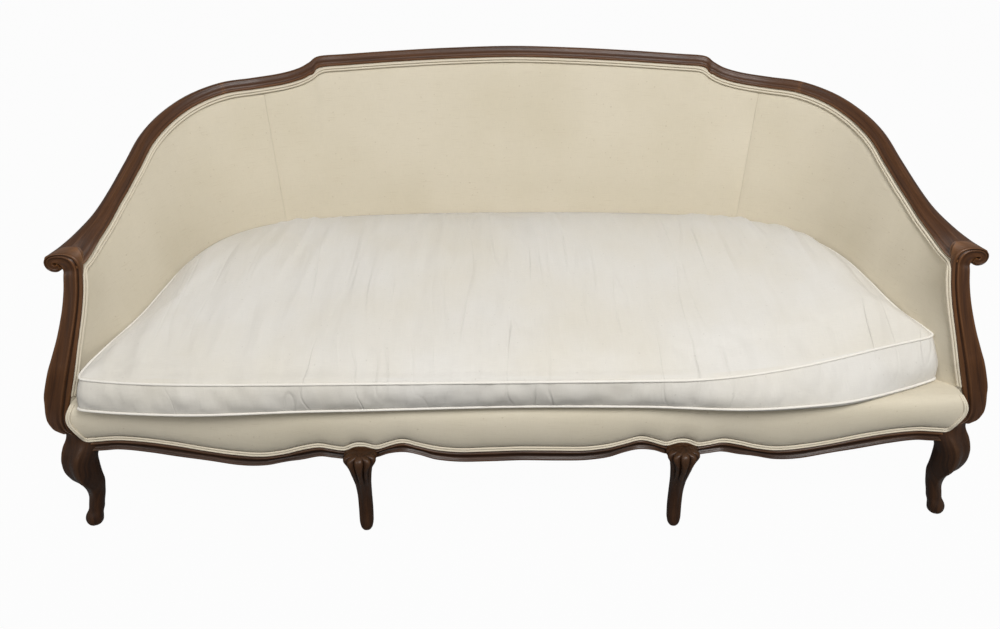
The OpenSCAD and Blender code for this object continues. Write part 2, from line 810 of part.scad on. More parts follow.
// Place along the wall where the frame's inner face is at a given distance from the middle
place_step = 0.1;
function frame_inner(t) = wall(t, 0, layer_n(t, 0, frame_near));
function place_at_x(x, t = 0) =
    frame_inner(t)[0] >= x || t > last ? t : place_at_x(x, t + place_step);
function place_at_y(y, t = 0) =
    frame_inner(t)[1] <= y || t > last ? t : place_at_y(y, t + place_step);
module seat_braces() {
    mid = brace_share * half_w;
    start = face_y(mid + brace_w / 2) + rail_t + gap;
    stop = frame_inner(place_at_x(mid + brace_w / 2))[1] - gap;
    color(beech) for (s = [-1, 1]) side(s)
    translate([mid - brace_w / 2, start, brace_shares[0] * rail_top_h])
    cube([brace_w, stop - start, (brace_shares[1] - brace_shares[0]) * rail_top_h]);
}
block_reach = 110;
module corner_blocks() {
    low = brace_shares[0] * rail_top_h;
    x_in = block_in_share * half_w;
    y_back = face_y(rail_end) + rail_t + gap;
    p = wall(outside_step, 0, layer_n(outside_step, 0, frame_near) - gap);
    q = wall(outside_step - 1, 0, layer_n(outside_step - 1, 0, frame_near) - gap);
    color(beech) for (s = [-1, 1]) side(s)
    translate([0, 0, low]) linear_extrude(brace_shares[1] * rail_top_h - low)
    polygon([
        [x_in - block_reach, y_back], [x_in - gap, y_back], [x_in - gap, p[1]], [p[0] - gap, p[1]],
        [q[0] - gap, q[1]]
    ]);
}

// Webbing under the seat rails: one strap under each column and each row of springs
strap_w = 50;
strap_t = 1.2;
strap_grip = 12;
first_spring_share = 0.24;
function spring_y(row) = front_y + first_spring_share * sofa_d + row * spring_pitch_y;
function spring_x(col) = (col - (spring_count - 1) / 2) * spring_pitch_x;
webbing_z = rail_low_h - gap - 2 * strap_t;
module seat_webbing() {
    color(jute) {
        for (col = [0:spring_count - 1]) let (
            x = spring_x(col),
            start = face_y(x) + rail_t - strap_grip,
            stop = frame_inner(place_at_x(abs(x) + strap_w / 2))[1] + strap_grip
        )
        translate([x - strap_w / 2, start, webbing_z]) cube([strap_w, stop - start, strap_t]);
        for (row = [0:spring_rows - 1]) let (
            y = spring_y(row),
            reach = frame_inner(place_at_y(y + strap_w / 2))[0] + strap_grip
        )
        translate([-reach, y - strap_w / 2, webbing_z + strap_t]) cube([2 * reach, strap_w, strap_t]);
    }
}

// Hourglass coil springs, each one tube of square section
spring_turns = 3;
turn_steps = 6;
wire_sides = 3;
spring_waist_share = 0.68;
hessian_rise = 16;
spring_h = rail_top_h + hessian_rise - gap - (webbing_z + 2 * strap_t) - gap;
module coil_spring() {
    steps = spring_turns * turn_steps;
    loft([
        for (i = [0:steps])
        let (
            u = i / steps,
            a = 360 * i / turn_steps,
            r = (spring_r - wire_t / 2) * lerp(spring_waist_share, 1, pow(2 * u - 1, 2)),
            z = wire_t / 2 + u * (spring_h - wire_t)
        )
        [
            for (w = [0:wire_sides - 1])
            let (q = 90 - 360 * w / wire_sides, d = r + wire_t / 2 * cos(q))
            [d * cos(a), d * sin(a), z + wire_t / 2 * sin(q)]
        ]
    ]);
}
module seat_springs() {
    color(steel) for (col = [0:spring_count - 1]) for (row = [0:spring_rows - 1])
    translate([spring_x(col), spring_y(row), webbing_z + 2 * strap_t + gap]) coil_spring();
}

// Plan of the deck: the inner wall round the back and the border's back along the front
deck_inset = 2;
deck_corner = 17.6;
deck_front_shares = [0.919, 0.895, 0.87, 0.84, 0.7, 0.5, 0.25, 0];
deck_front_x = concat(
    [for (u = deck_front_shares) u * half_w],
    [for (u = backwards(deck_front_shares)) if (u > 0) -u * half_w]
);
module deck_sheet(z, t) {
    translate([0, 0, z]) linear_extrude(t) polygon(concat(
        [
            for (t = stations(-deck_corner, deck_corner))
            let (p = wall_edge(t, z, deck_inset))
            [p[0], p[1]]
        ],
        [for (x = deck_front_x) [x, face_y(x) + border_back(x) + 1.5 * deck_inset]]
    ));
}
module spring_hessian() {
    color(jute) deck_sheet(rail_top_h + hessian_rise, hessian_t);
}
deck_pad_z = rail_top_h + hessian_rise + hessian_t + gap;
module deck_stuffing() {
    color(hair) deck_sheet(deck_pad_z, deck_h - fabric_t - gap - deck_pad_z);
}
module deck_cover() {
    color(cream) deck_sheet(deck_h - fabric_t, fabric_t);
}

// Black cambric under the seat, tacked under the rails and cut round the rear legs
cambric_t = 0.8;
cambric_grip = 10;
cambric_corner = 15.6;
leg_cut_share = 1.3;
module dust_cover() {
    color(cambric) translate([0, 0, webbing_z - gap - cambric_t]) difference() {
        linear_extrude(cambric_t) polygon(concat(
            [
                for (t = stations(-cambric_corner, cambric_corner))
                let (p = wall(t, 0, layer_n(t, 0, frame_near) + cambric_grip))
                [p[0], p[1]]
            ],
            [
                for (x = deck_front_x) if (abs(x) < frame_inner(cambric_corner)[0])
                [x, face_y(x) + rail_t - gap]
            ]
        ));
        for (s = [-1, 1], place = [rear_mid_place, rear_corner_place])
        let (c = rear_leg_centre(place))
        translate([s * c[0], c[1], -cut])
        cylinder(cambric_t + 2 * cut, r = leg_cut_share * rear_leg_w / 2, $fn = 24);
    }
}

// Loose bench cushion
cushion_corner = 16.3;
cushion_gap = 2;
cushion_welt_r = 2.6;
cushion_inset = 2 * cushion_welt_r + gap;
cushion_front_in = 18;
cushion_front_round = 34;
cushion_front_shares = [0.905, 0.88, 0.84, 0.78, 0.69, 0.57, 0.42, 0.21, 0];
cushion_skew_shares = [0.3, 0.9];
cushion_pull_share = 0.3;
cushion_front_us = concat(
    cushion_front_shares,
    [for (u = backwards(cushion_front_shares)) if (u > 0) -u]
);
function skew_at(u) =
    let (q = cushion_skew_shares)
    cushion_skew * smooth((u - q[0]) / (q[1] - q[0]));
function front_edge(u) =
    let (end = pow(abs(u) / cushion_front_shares[0], 8))
    [
        u * half_w - cushion_pull_share * skew_at(u),
        front_y + cushion_front_in + cushion_front_round * end + skew_at(u)
    ];
cushion_places = [
    for (t = stations(-cushion_corner, cushion_corner)) if (abs(t) > post_blend_start - 1 || t == round(t)) t
];
cushion_z = deck_h + gap;
edge_depth_share = 0.72;
function edge_z(y) =
    let (u = (y - front_y - cushion_front_in) / (edge_depth_share * sofa_d))
    cushion_z + lerp(cushion_front_h, cushion_rear_h, smooth(u));
// Closed outline drawn in by a distance, corner by corner
function drawn_in(points, d) =
    let (n = len(points))
    [
        for (i = [0:n - 1])
        let (
            p = points[i],
            a = points[(i + n - 1) % n],
            b = points[(i + 1) % n],
            u = unit([p[0] - a[0], p[1] - a[1]]),
            v = unit([b[0] - p[0], b[1] - p[1]]),
            m = [u[1] + v[1], -u[0] - v[0]] / (1 + u * v)
        )
        [p[0] + m[0] * d, p[1] + m[1] * d, p[2]]
    ];
// Outline of the cushion at a share of the edge's height, drawn in by an inset
function cushion_outline(level, inset) = drawn_in(
    concat(
        [
            for (t = cushion_places)
            let (
                first = wall_edge(t, cushion_z, cushion_gap),
                z = lerp(cushion_z, edge_z(first[1]), level)
            )
            wall_edge(t, z, cushion_gap)
        ],
        [
            for (u = cushion_front_us)
            let (p = front_edge(u))
            [p[0], p[1], lerp(cushion_z, edge_z(p[1]), level)]
        ]
    ),
    inset
);
cushion_middle_share = 0.5;
cushion_middle_y_share = 0.45;
cushion_middle_y = front_y + cushion_middle_y_share * sofa_d;
function toward_middle(p, u) =
    let (reach = cushion_middle_share * half_w, cx = max(-reach, min(reach, p[0])))
    [lerp(cx, p[0], u), lerp(cushion_middle_y, p[1], u)];
// Rings of the crown: share of the way in, and share of the crown's height
crown_shares = [[0.92, 0.32], [0.66, 0.8]];
// The flat in the middle of the crown is a long ellipse
crown_flat = 12;
function crown_middle(p) =
    let (u = unit([p[0] / half_w, 2 * (p[1] - cushion_middle_y) / sofa_d]))
    [u[0] * cushion_middle_share * half_w, cushion_middle_y + u[1] * crown_flat];
boxing_in = 6;
bottom_round = 4;
// Heights of the bottom welt and of the boxing's waist, as shares of the edge's height
bottom_welt_share = 0.1;
waist_share = 0.5;
// Rings of the cushion from its underside over the boxing to the middle of its crown
function cushion_rings(shrink, base_z) =
    let (inset = cushion_inset + shrink, top = cushion_outline(1, inset))
    [
        for (ring = concat(
            [
                [for (p = cushion_outline(0, inset + bottom_round)) [p[0], p[1], base_z]],
                cushion_outline(bottom_welt_share, inset),
                cushion_outline(waist_share, inset + boxing_in),
                [for (p = top) [p[0], p[1], p[2] - shrink]]
            ],
            [
                for (c = crown_shares) [
                    for (p = top)
                    let (q = toward_middle(p, c[0]))
                    [q[0], q[1], edge_z(q[1]) + crown_h * c[1] - shrink]
                ]
            ],
            [[
                for (p = top)
                let (q = crown_middle(p))
                [q[0], q[1], edge_z(cushion_middle_y) + crown_h - shrink]
            ]]
        ))
        backwards(ring)
    ];
lining = 1.2;
module cushion_cover() {
    inner = backwards(cushion_rings(lining, cushion_z));
    color(white_linen) loft(concat(inner, cushion_rings(0, cushion_z)), len(inner));
}
module cushion_base_panel() {
    color(white_linen) translate([0, 0, cushion_z]) linear_extrude(lining)
    polygon([for (p = cushion_outline(0, cushion_inset + bottom_round + lining + gap)) [p[0], p[1]]]);
}
filling_ease = 3.5;
module cushion_filling() {
    shrink = lining + filling_ease;
    color(white_linen) loft(cushion_rings(shrink, cushion_z + shrink));
}

// Closed ring of cord along an outline
cord_sides = 5;
module cord_loop(points) {
    n = len(points);
    polyhedron(
        points = [
            for (i = [0:n - 1])
            let (
                a = points[(i + n - 1) % n],
                b = points[(i + 1) % n],
                run = unit([b[0] - a[0], b[1] - a[1]]),
                out = [run[1], -run[0]]
            )
            for (k = [0:cord_sides - 1])
            let (w = 360 * k / cord_sides, d = cushion_welt_r * cos(w))
            [points[i][0] + out[0] * d, points[i][1] + out[1] * d, points[i][2] + cushion_welt_r * sin(w)]
        ],
        faces = [
            for (i = [0:n - 1]) for (k = [0:cord_sides - 1])
            let (
                j = (i + 1) % n,
                m = (k + 1) % cord_sides,
                p = i * cord_sides,
                q = j * cord_sides
            )
            each [[p + k, q + m, q + k], [p + k, p + m, q + m]]
        ]
    );
}
cord_inset = cushion_welt_r;
module cushion_welt_top() {
    color(white_linen) cord_loop(cushion_outline(1, cord_inset));
}
module cushion_welt_bottom() {
    color(white_linen) cord_loop(cushion_outline(bottom_welt_share, cord_inset));
}
// Zip on the waist of the rear boxing
zip_end = 4;
zip_half_share = 0.09;
zip_t = 1.2;
function waist_in(u) =
    boxing_in * (u < waist_share
        ? (u - bottom_welt_share) / (waist_share - bottom_welt_share)
        : (1 - u) / (1 - waist_share));
function zip_row(t, n) = [
    for (u = [waist_share - zip_half_share, waist_share, waist_share + zip_half_share])
    let (z = lerp(cushion_z, edge_z(wall_edge(t, cushion_z, cushion_gap)[1]), u))
    wall_edge(t, z, cushion_gap + cushion_inset + waist_in(u) - n)
];
module cushion_zip() {
    places = [for (i = [-zip_end:zip_end]) i];
    color(steel) slab([for (t = places) zip_row(t, gap)], [for (t = places) zip_row(t, gap + zip_t)]);
}

crest_rail();
arm_rail(-1);  // arm_rail_left
arm_rail(1);  // arm_rail_right
arm_post(-1);  // arm_post_left
arm_post(1);  // arm_post_right
front_rail();
front_leg(-1);  // front_leg_left
front_leg(1);  // front_leg_right
front_leg_mid(-1);  // front_leg_mid_left
front_leg_mid(1);  // front_leg_mid_right
rear_leg(-1, rear_corner_place);  // rear_leg_left
rear_leg(1, rear_corner_place);  // rear_leg_right
rear_leg(-1, rear_mid_place);  // rear_leg_mid_left
rear_leg(1, rear_mid_place);  // rear_leg_mid_right
rear_seat_rail();
side_seat_rail(-1);  // side_seat_rail_left
side_seat_rail(1);  // side_seat_rail_right
corner_upright(-1);  // corner_upright_left
corner_upright(1);  // corner_upright_right
back_upright(-1);  // back_upright_left
back_upright(1);  // back_upright_right
top_tack_rail();
arm_tack_rail(-1);  // arm_tack_rail_left
arm_tack_rail(1);  // arm_tack_rail_right
lower_tack_rail();
seat_braces();
corner_blocks();
leg_dowels();
seat_webbing();
seat_springs();
spring_hessian();
deck_stuffing();
deck_cover();
front_border();
front_welt();
back_hessian();
arm_hessian(-1);  // arm_hessian_left
arm_hessian(1);  // arm_hessian_right
back_stuffing();
arm_stuffing(-1);  // arm_stuffing_left
arm_stuffing(1);  // arm_stuffing_right
back_cover();
arm_cover(-1);  // arm_cover_left
arm_cover(1);  // arm_cover_right
outside_back_cover();
outside_arm_cover(-1);  // outside_arm_cover_left
outside_arm_cover(1);  // outside_arm_cover_right
wall_welt();
dust_cover();
cushion_cover();
cushion_base_panel();
cushion_filling();
cushion_welt_top();
cushion_welt_bottom();
cushion_zip();
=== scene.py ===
"""Looks of a long show-wood canape with a wrap-around back and one loose bench cushion.

Lengths are in metres: +X to the right seen from the front, +Y to the back, +Z up.
Places along the wall run from -18 at the left arm post to 18 at the right one.
"""

import json
import logging
import math
from dataclasses import dataclass, field
from enum import Enum
from functools import lru_cache, partial
from typing import Callable, Iterator, Sequence

import bmesh
import bpy
from bmesh.types import BMesh, BMVert
from bpy.types import Material, Node, NodeSocket, NodeTree, Object
from mathutils import Matrix, Vector, noise

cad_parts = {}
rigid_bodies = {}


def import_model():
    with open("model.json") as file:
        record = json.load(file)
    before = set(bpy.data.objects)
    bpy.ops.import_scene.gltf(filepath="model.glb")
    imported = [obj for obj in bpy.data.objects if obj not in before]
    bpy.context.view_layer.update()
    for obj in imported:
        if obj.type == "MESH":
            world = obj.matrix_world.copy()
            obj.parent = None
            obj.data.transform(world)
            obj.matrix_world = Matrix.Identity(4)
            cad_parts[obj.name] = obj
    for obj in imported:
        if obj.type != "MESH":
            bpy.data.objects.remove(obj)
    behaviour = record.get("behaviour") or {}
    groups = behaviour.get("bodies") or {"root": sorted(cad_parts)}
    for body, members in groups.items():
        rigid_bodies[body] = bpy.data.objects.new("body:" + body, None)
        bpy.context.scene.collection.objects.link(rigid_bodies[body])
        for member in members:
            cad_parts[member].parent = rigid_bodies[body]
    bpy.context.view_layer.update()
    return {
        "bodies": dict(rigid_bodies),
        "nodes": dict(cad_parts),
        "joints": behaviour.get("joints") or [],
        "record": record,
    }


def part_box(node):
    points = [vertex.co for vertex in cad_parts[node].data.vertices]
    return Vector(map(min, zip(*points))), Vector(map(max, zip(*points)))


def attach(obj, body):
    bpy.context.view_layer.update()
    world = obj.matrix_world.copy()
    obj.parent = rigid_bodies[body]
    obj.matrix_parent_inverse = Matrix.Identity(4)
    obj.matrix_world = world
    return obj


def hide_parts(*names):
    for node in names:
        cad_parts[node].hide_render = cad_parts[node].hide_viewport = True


log = logging.getLogger("canape")

Ring = list[Vector]
Point = tuple[float, ...]
Triple = tuple[float, float, float]

WELD = 1e-6  # points nearer than this are one


class Side(Enum):
    """Left or right half of the frame, with the sign of its X."""

    LEFT = -1
    RIGHT = 1

    @property
    def tag(self) -> str:
        """Word for the side in a piece's name."""
        return self.name.lower()


class Body(Enum):
    """Bodies of the motion model that pieces ride on."""

    FRAME = "frame"
    CUSHION = "cushion"


def lerp(a: float, b: float, u: float) -> float:
    """Value a share u of the way from a to b."""
    return a + (b - a) * u


def smooth(u: float) -> float:
    """Smooth step of u between 0 and 1."""
    w = max(0.0, min(1.0, u))
    return w * w * (3 - 2 * w)


def bump(u: float, centre: float, width: float) -> float:
    """Smooth hump of height 1 at centre that is 0 beyond a half width."""
    return smooth(1 - abs(u - centre) / width)


def along(points: Sequence[Point], t: float) -> Vector:
    """Point on a smooth curve that runs through the listed points.

    Args:
        points: control points, all with as many coordinates.
        t: place, counted in control points.

    Returns:
        The curve's point as a vector.
    """
    n = len(points)
    k = min(n - 2, max(0, math.floor(t)))
    u = t - k
    b, c = Vector(points[k]), Vector(points[k + 1])
    a = 2 * b - c if k == 0 else Vector(points[k - 1])
    d = Vector(points[k + 2]) if k + 2 < n else 2 * c - b
    return 0.5 * (
        2 * b + (c - a) * u + (2 * a - 5 * b + 4 * c - d) * u * u + (3 * b - a - 3 * c + d) * u**3
    )


def table_at(table: Sequence[Point], x: float) -> list[float]:
    """Smooth lookup in a table whose first column rises.

    Args:
        table: rows that start with the key.
        x: key to look up.

    Returns:
        The other columns at x.
    """
    keys = [row[0] for row in table]
    if x <= keys[0]:
        return list(table[0][1:])
    if x >= keys[-1]:
        return list(table[-1][1:])
    k = max(i for i, key in enumerate(keys) if key <= x)
    t = k + (x - keys[k]) / (keys[k + 1] - keys[k])
    return list(along([row[1:] + (0.0,) for row in table], t))[:-1]


def drift(x: float, y: float, z: float) -> float:
    """Smooth noise between about -1 and 1 at a place."""
    return noise.noise(Vector((x, y, z)))


def spaced(a: float, b: float, n: int) -> list[float]:
    """List of n + 1 even values from a to b."""
    return [lerp(a, b, i / n) for i in range(n + 1)]


def distances(points: Sequence[Vector]) -> list[float]:
    """Distance along a polyline of each of its points.

    Args:
        points: the polyline.

    Returns:
        Rising distances, the first of them 0.
    """
    lengths = [0.0]
    for a, b in zip(points, points[1:]):
        lengths.append(lengths[-1] + (b - a).length)
    return lengths


def even_places(lengths: Sequence[float], steps: int, count: int) -> Iterator[tuple[int, float]]:
    """Places at even distances along a polyline.

    Args:
        lengths: distances of the polyline's points.
        steps: even steps in its whole length.
        count: places wanted, from its first point on.

    Yields:
        Number of the part that the place is on, and the share of the way along that part.
    """
    k = 0
    for i in range(count):
        s = lengths[-1] * i / steps
        while k < len(lengths) - 2 and lengths[k + 1] < s:
            k += 1
        yield k, (s - lengths[k]) / max(lengths[k + 1] - lengths[k], 1e-9)


# Mesh making


def loft(name: str, rings: Sequence[Ring], closed: bool = False, open_ring: bool = False) -> Object:
    """Skin over a row of rings with as many points each, with its lengths as UV.

    Args:
        name: the piece's name.
        rings: rings of points, one for each station.
        closed: whether the last ring joins the first one.
        open_ring: whether the rings stay open, which makes a sheet.

    Returns:
        The new object, smooth, with faces outwards.
    """
    n, m = len(rings), len(rings[0])
    cols = n if closed else n - 1
    rows = m - 1 if open_ring else m
    bm = bmesh.new()
    made = bmesh.ops.create_grid(bm, x_segments=cols, y_segments=rows, size=1)
    place = {v: (round((v.co.x + 1) / 2 * cols), round((v.co.y + 1) / 2 * rows)) for v in made["verts"]}
    run = [0.0]
    for i in range(1, cols + 1):
        a, b = rings[i - 1], rings[i % n]
        run.append(run[-1] + sum((p - q).length for p, q in zip(a, b)) / m)
    around = [distances([*ring, ring[0]][: rows + 1]) for ring in rings]
    uv = bm.loops.layers.uv.new("UVMap")
    for face in bm.faces:
        for corner in face.loops:
            i, j = place[corner.vert]
            corner[uv].uv = (run[i], around[i % n][j])
    for v, (i, j) in place.items():
        v.co = rings[i % n][j % m]
    bmesh.ops.remove_doubles(bm, verts=bm.verts, dist=WELD)
    if not open_ring and not closed:
        edges = [e for e in bm.edges if e.is_boundary]
        bmesh.ops.holes_fill(bm, edges=edges, sides=0)
    bmesh.ops.recalc_face_normals(bm, faces=bm.faces)
    return into_object(name, bm)


def into_object(name: str, bm: BMesh, sharp_deg: float = 42.0) -> Object:
    """Object of a finished bmesh, smooth but for its sharp edges, with a relief attribute.

    Args:
        name: the piece's name.
        bm: the mesh, which is freed.
        sharp_deg: angle past which an edge stays sharp.

    Returns:
        The new object.
    """
    bm.normal_update()
    relief = bm.verts.layers.float.new("relief")
    for v in bm.verts:
        total = 0.0
        for e in v.link_edges:
            step = e.other_vert(v).co - v.co
            total += step.dot(v.normal) / max(step.length, 1e-7)
        v[relief] = max(-1.0, min(1.0, -2.2 * total / max(1, len(v.link_edges))))
    for _ in range(2):
        fresh = {}
        for v in bm.verts:
            near = [e.other_vert(v)[relief] for e in v.link_edges]
            fresh[v] = 0.6 * v[relief] + 0.4 * sum(near) / max(1, len(near))
        for v, value in fresh.items():
            v[relief] = value
    obj = linked(name, bm)
    obj.data.shade_smooth()
    obj.data.set_sharp_from_angle(angle=math.radians(sharp_deg))
    return obj


def linked(name: str, bm: BMesh) -> Object:
    """Object of a bmesh, in the scene.

    Args:
        name: the object's name.
        bm: the mesh, which is freed.

    Returns:
        The new object.
    """
    mesh = bpy.data.meshes.new(name)
    bm.to_mesh(mesh)
    bm.free()
    obj = bpy.data.objects.new(name, mesh)
    bpy.context.scene.collection.objects.link(obj)
    return obj


def joined(name: str, parts: Sequence[Object]) -> Object:
    """One object out of several.

    Args:
        name: name of the joined piece.
        parts: objects to join, which are removed.

    Returns:
        The joined object.
    """
    bm = bmesh.new()
    for part in parts:
        bm.from_mesh(part.data)
        bpy.data.objects.remove(part)
    return linked(name, bm)


def mirrored(name: str, source: Object) -> Object:
    """Copy of a right-hand piece for the left, with its faces turned outwards again.

    Args:
        name: name of the left-hand piece.
        source: the right-hand piece.

    Returns:
        The new object.
    """
    bm = bmesh.new()
    bm.from_mesh(source.data)
    bmesh.ops.scale(bm, vec=Vector((-1, 1, 1)), verts=bm.verts)
    bmesh.ops.reverse_faces(bm, faces=bm.faces)
    return linked(name, bm)


def tube(name: str, path: Sequence[Vector], radius: float, sides: int = 10,
         closed: bool = False) -> Object:
    """Round cord along a path, with a hair of unevenness from the cloth round it.

    Args:
        name: the piece's name.
        path: centre line.
        radius: radius of the cord.
        sides: points round the cord.
        closed: whether the path is a loop.

    Returns:
        The new object.
    """
    n = len(path)
    turns = [(math.cos(a), math.sin(a)) for a in spaced(0, 2 * math.pi, sides)[:-1]]
    rings = []
    normal = Vector((0, 0, 1))
    for i in range(n):
        a = path[i - 1] if closed or i > 0 else path[0]
        b = path[(i + 1) % n] if closed or i < n - 1 else path[-1]
        run = (b - a).normalized()
        side = run.cross(normal)
        if side.length < 1e-4:
            side = run.cross(Vector((0, 1, 0)))
        side.normalize()
        lift = side.cross(run).normalized()
        if not closed:
            normal = lift
        r = radius * (1 + 0.05 * noise.noise(path[i] * 60))
        rings.append([path[i] + side * r * c + lift * r * s for c, s in turns])
    return loft(name, rings, closed=closed)


def resampled(points: Sequence[Vector], step: float, closed: bool = False) -> list[Vector]:
    """Points at even distances along a polyline.

    Args:
        points: the polyline.
        step: wished distance between points.
        closed: whether it is a loop.

    Returns:
        The new points.
    """
    loop = list(points) + ([points[0]] if closed else [])
    lengths = distances(loop)
    n = max(2, round(lengths[-1] / step))
    return [loop[k].lerp(loop[k + 1], u) for k, u in even_places(lengths, n, n if closed else n + 1)]


# Shape of the wall, as in the solids


@dataclass(frozen=True)
class Column:
    """The wall's section at one place.

    Attributes:
        foot: inner face at the seat rails' top, in plan.
        top: inner face under the show rail.
        out_foot: outward direction at the foot.
        out_top: outward direction at the top.
        base: height of the foot.
        lean: how far the face leans in half way up.
        depth_foot: wall's thickness at the foot.
        depth_top: wall's thickness at the top.
        lift: how much taller the rail's face is because it slopes.
    """

    foot: Vector
    top: Vector
    out_foot: Vector
    out_top: Vector
    base: float
    lean: float
    depth_foot: float
    depth_top: float
    lift: float

    def point(self, v: float, n: float) -> Vector:
        """Point at height share v and depth n behind the inner face.

        Args:
            v: height share, 0 at the foot and 1 under the show rail.
            n: depth behind the inner face.

        Returns:
            The point.
        """
        out = self.out_foot.lerp(self.out_top, v).normalized()
        x = lerp(self.foot.x, self.top.x, v) - self.lean * math.sin(math.pi * v) + out.x * n
        y = lerp(self.foot.y, self.top.y, v) + out.y * n
        return Vector((x, y, lerp(self.base, self.top.z, v)))

    def level(self, z: float) -> float:
        """Height share at a height."""
        return (z - self.base) / (self.top.z - self.base)

    def depth(self, v: float) -> float:
        """Thickness of the wall at height share v."""
        return lerp(self.depth_foot, self.depth_top, v)


@dataclass(frozen=True)
class Wall:
    """Wrap-around back: ridge of the show rail, foot line and thickness.

    Attributes:
        half_width: half the width over the arm posts.
        depth: depth over everything.
        crest: height of the crest.
        rail_top: height of the seat rails' top.
        inner_w: rail's width from inner edge to ridge.
        outer_w: rail's width from ridge to outer edge.
        face_h: height of the rail's face.
        end_w: inner width of the rail at the scroll.
        foot_t: wall's thickness at the foot.
        pad_foot: depth of the inside padding as a share of the wall's, at the foot.
        pad_top: the same under the show rail.
        pad_post: depth of the padding at the arm post.
        ridge: shares of half width, depth and crest height along the ridge.
        foot: shares of half width and depth along the foot.
    """

    half_width: float = 1.02
    depth: float = 0.857
    crest: float = 0.905
    rail_top: float = 0.285
    inner_w: float = 0.017
    outer_w: float = 0.017
    face_h: float = 0.024
    end_w: float = 0.057
    foot_t: float = 0.072
    pad_foot: float = 0.56
    pad_top: float = 0.28
    pad_post: float = 0.009
    ridge: tuple[Point, ...] = (
        (0, 0.9802, 1), (0.157, 0.977, 0.996), (0.294, 0.967, 0.990), (0.422, 0.953, 0.983),
        (0.490, 0.939, 0.9795), (0.515, 0.933, 0.9635), (0.544, 0.926, 0.948),
        (0.588, 0.912, 0.937), (0.652, 0.889, 0.930), (0.721, 0.849, 0.926),
        (0.784, 0.791, 0.908), (0.830, 0.719, 0.880), (0.860, 0.636, 0.844),
        (0.877, 0.554, 0.798), (0.892, 0.467, 0.754), (0.907, 0.391, 0.720),
        (0.925, 0.315, 0.697), (0.936, 0.257, 0.688), (0.943, 0.216, 0.686),
    )
    foot: tuple[Point, ...] = (
        (0, 0.812), (0.147, 0.811), (0.275, 0.805), (0.392, 0.793), (0.456, 0.783),
        (0.480, 0.777), (0.507, 0.770), (0.544, 0.758), (0.593, 0.739), (0.642, 0.706),
        (0.688, 0.656), (0.723, 0.593), (0.747, 0.523), (0.763, 0.453), (0.777, 0.376),
        (0.796, 0.307), (0.833, 0.239), (0.887, 0.175), (0.936, 0.114),
    )

    @property
    def front(self) -> float:
        """Y of the foremost place."""
        return -self.depth / 2

    @property
    def last(self) -> int:
        """Place of the right arm post."""
        return len(self.ridge) - 1

    def _line(self, table: tuple[Point, ...]) -> list[Point]:
        """Table of shares as points in metres, for both halves.

        Args:
            table: rows of shares for the right half.

        Returns:
            Points from the left post to the right one.
        """
        half = [
            (p[0] * self.half_width, self.front + p[1] * self.depth, (p[2] if len(p) > 2 else 0) * self.crest)
            for p in table
        ]
        return [(-p[0], p[1], p[2]) for p in reversed(half[1:])] + half

    def ridge_at(self, t: float) -> Vector:
        """Point of the rail's ridge at place t."""
        return along(_ridge_line(self), t + self.last)

    def foot_at(self, t: float) -> Vector:
        """Point of the wall's foot at place t."""
        return along(_foot_line(self), t + self.last)

    def post_share(self, t: float) -> float:
        """Share of the way from the plain wall to its end at the post."""
        return smooth((abs(t) - 14) / (self.last - 14))

    def run(self, t: float, foot: bool = False) -> Vector:
        """Direction of the ridge or the foot line at place t.

        Args:
            t: place along the wall.
            foot: whether the foot line is meant.

        Returns:
            A short step along the line.
        """
        a, b = (t - 0.02, t) if t > 0 else (t, t + 0.02)
        at = self.foot_at if foot else self.ridge_at
        return at(b) - at(a)

    def rail_w(self, t: float) -> float:
        """Rail's width from its inner edge to the ridge at place t."""
        return lerp(self.inner_w, self.end_w, self.post_share(t))

    def column(self, t: float) -> Column:
        """Section of the wall at place t."""
        return _column(self, t)

    def edge(self, t: float, z: float, inset: float) -> Vector:
        """Inner face at place t and height z, moved towards the seat."""
        column = self.column(t)
        return column.point(column.level(z), -inset)

    def places(self, a: float, b: float, step: float) -> list[float]:
        """Places from a to b about a step apart along the rail.

        Args:
            a: first place.
            b: last place.
            step: distance between places in metres.

        Returns:
            The places in order.
        """
        fine = spaced(a, b, max(8, int(abs(b - a) * 24)))
        lengths = self.lengths(fine)
        n = max(2, round(lengths[-1] / step))
        return [lerp(fine[k], fine[k + 1], u) for k, u in even_places(lengths, n, n + 1)]

    def rear_leg(self, place: float) -> Vector:
        """Middle of a rear leg's top, between the padding and the outside cover."""
        near, far = self.foot_t * self.pad_foot + 0.0028, self.foot_t - 0.0049
        return self.column(place).point(0, (near + far) / 2)

    def lengths(self, places: Sequence[float]) -> list[float]:
        """Distance of each place from the first one, along the rail's ridge."""
        return distances([self.ridge_at(t) for t in places])


@lru_cache(maxsize=4)
def _ridge_line(wall: Wall) -> tuple[Point, ...]:
    """Ridge of the whole wall in metres."""
    return tuple(wall._line(wall.ridge))


@lru_cache(maxsize=4)
def _foot_line(wall: Wall) -> tuple[Point, ...]:
    """Foot line of the whole wall in metres."""
    return tuple(wall._line(wall.foot))


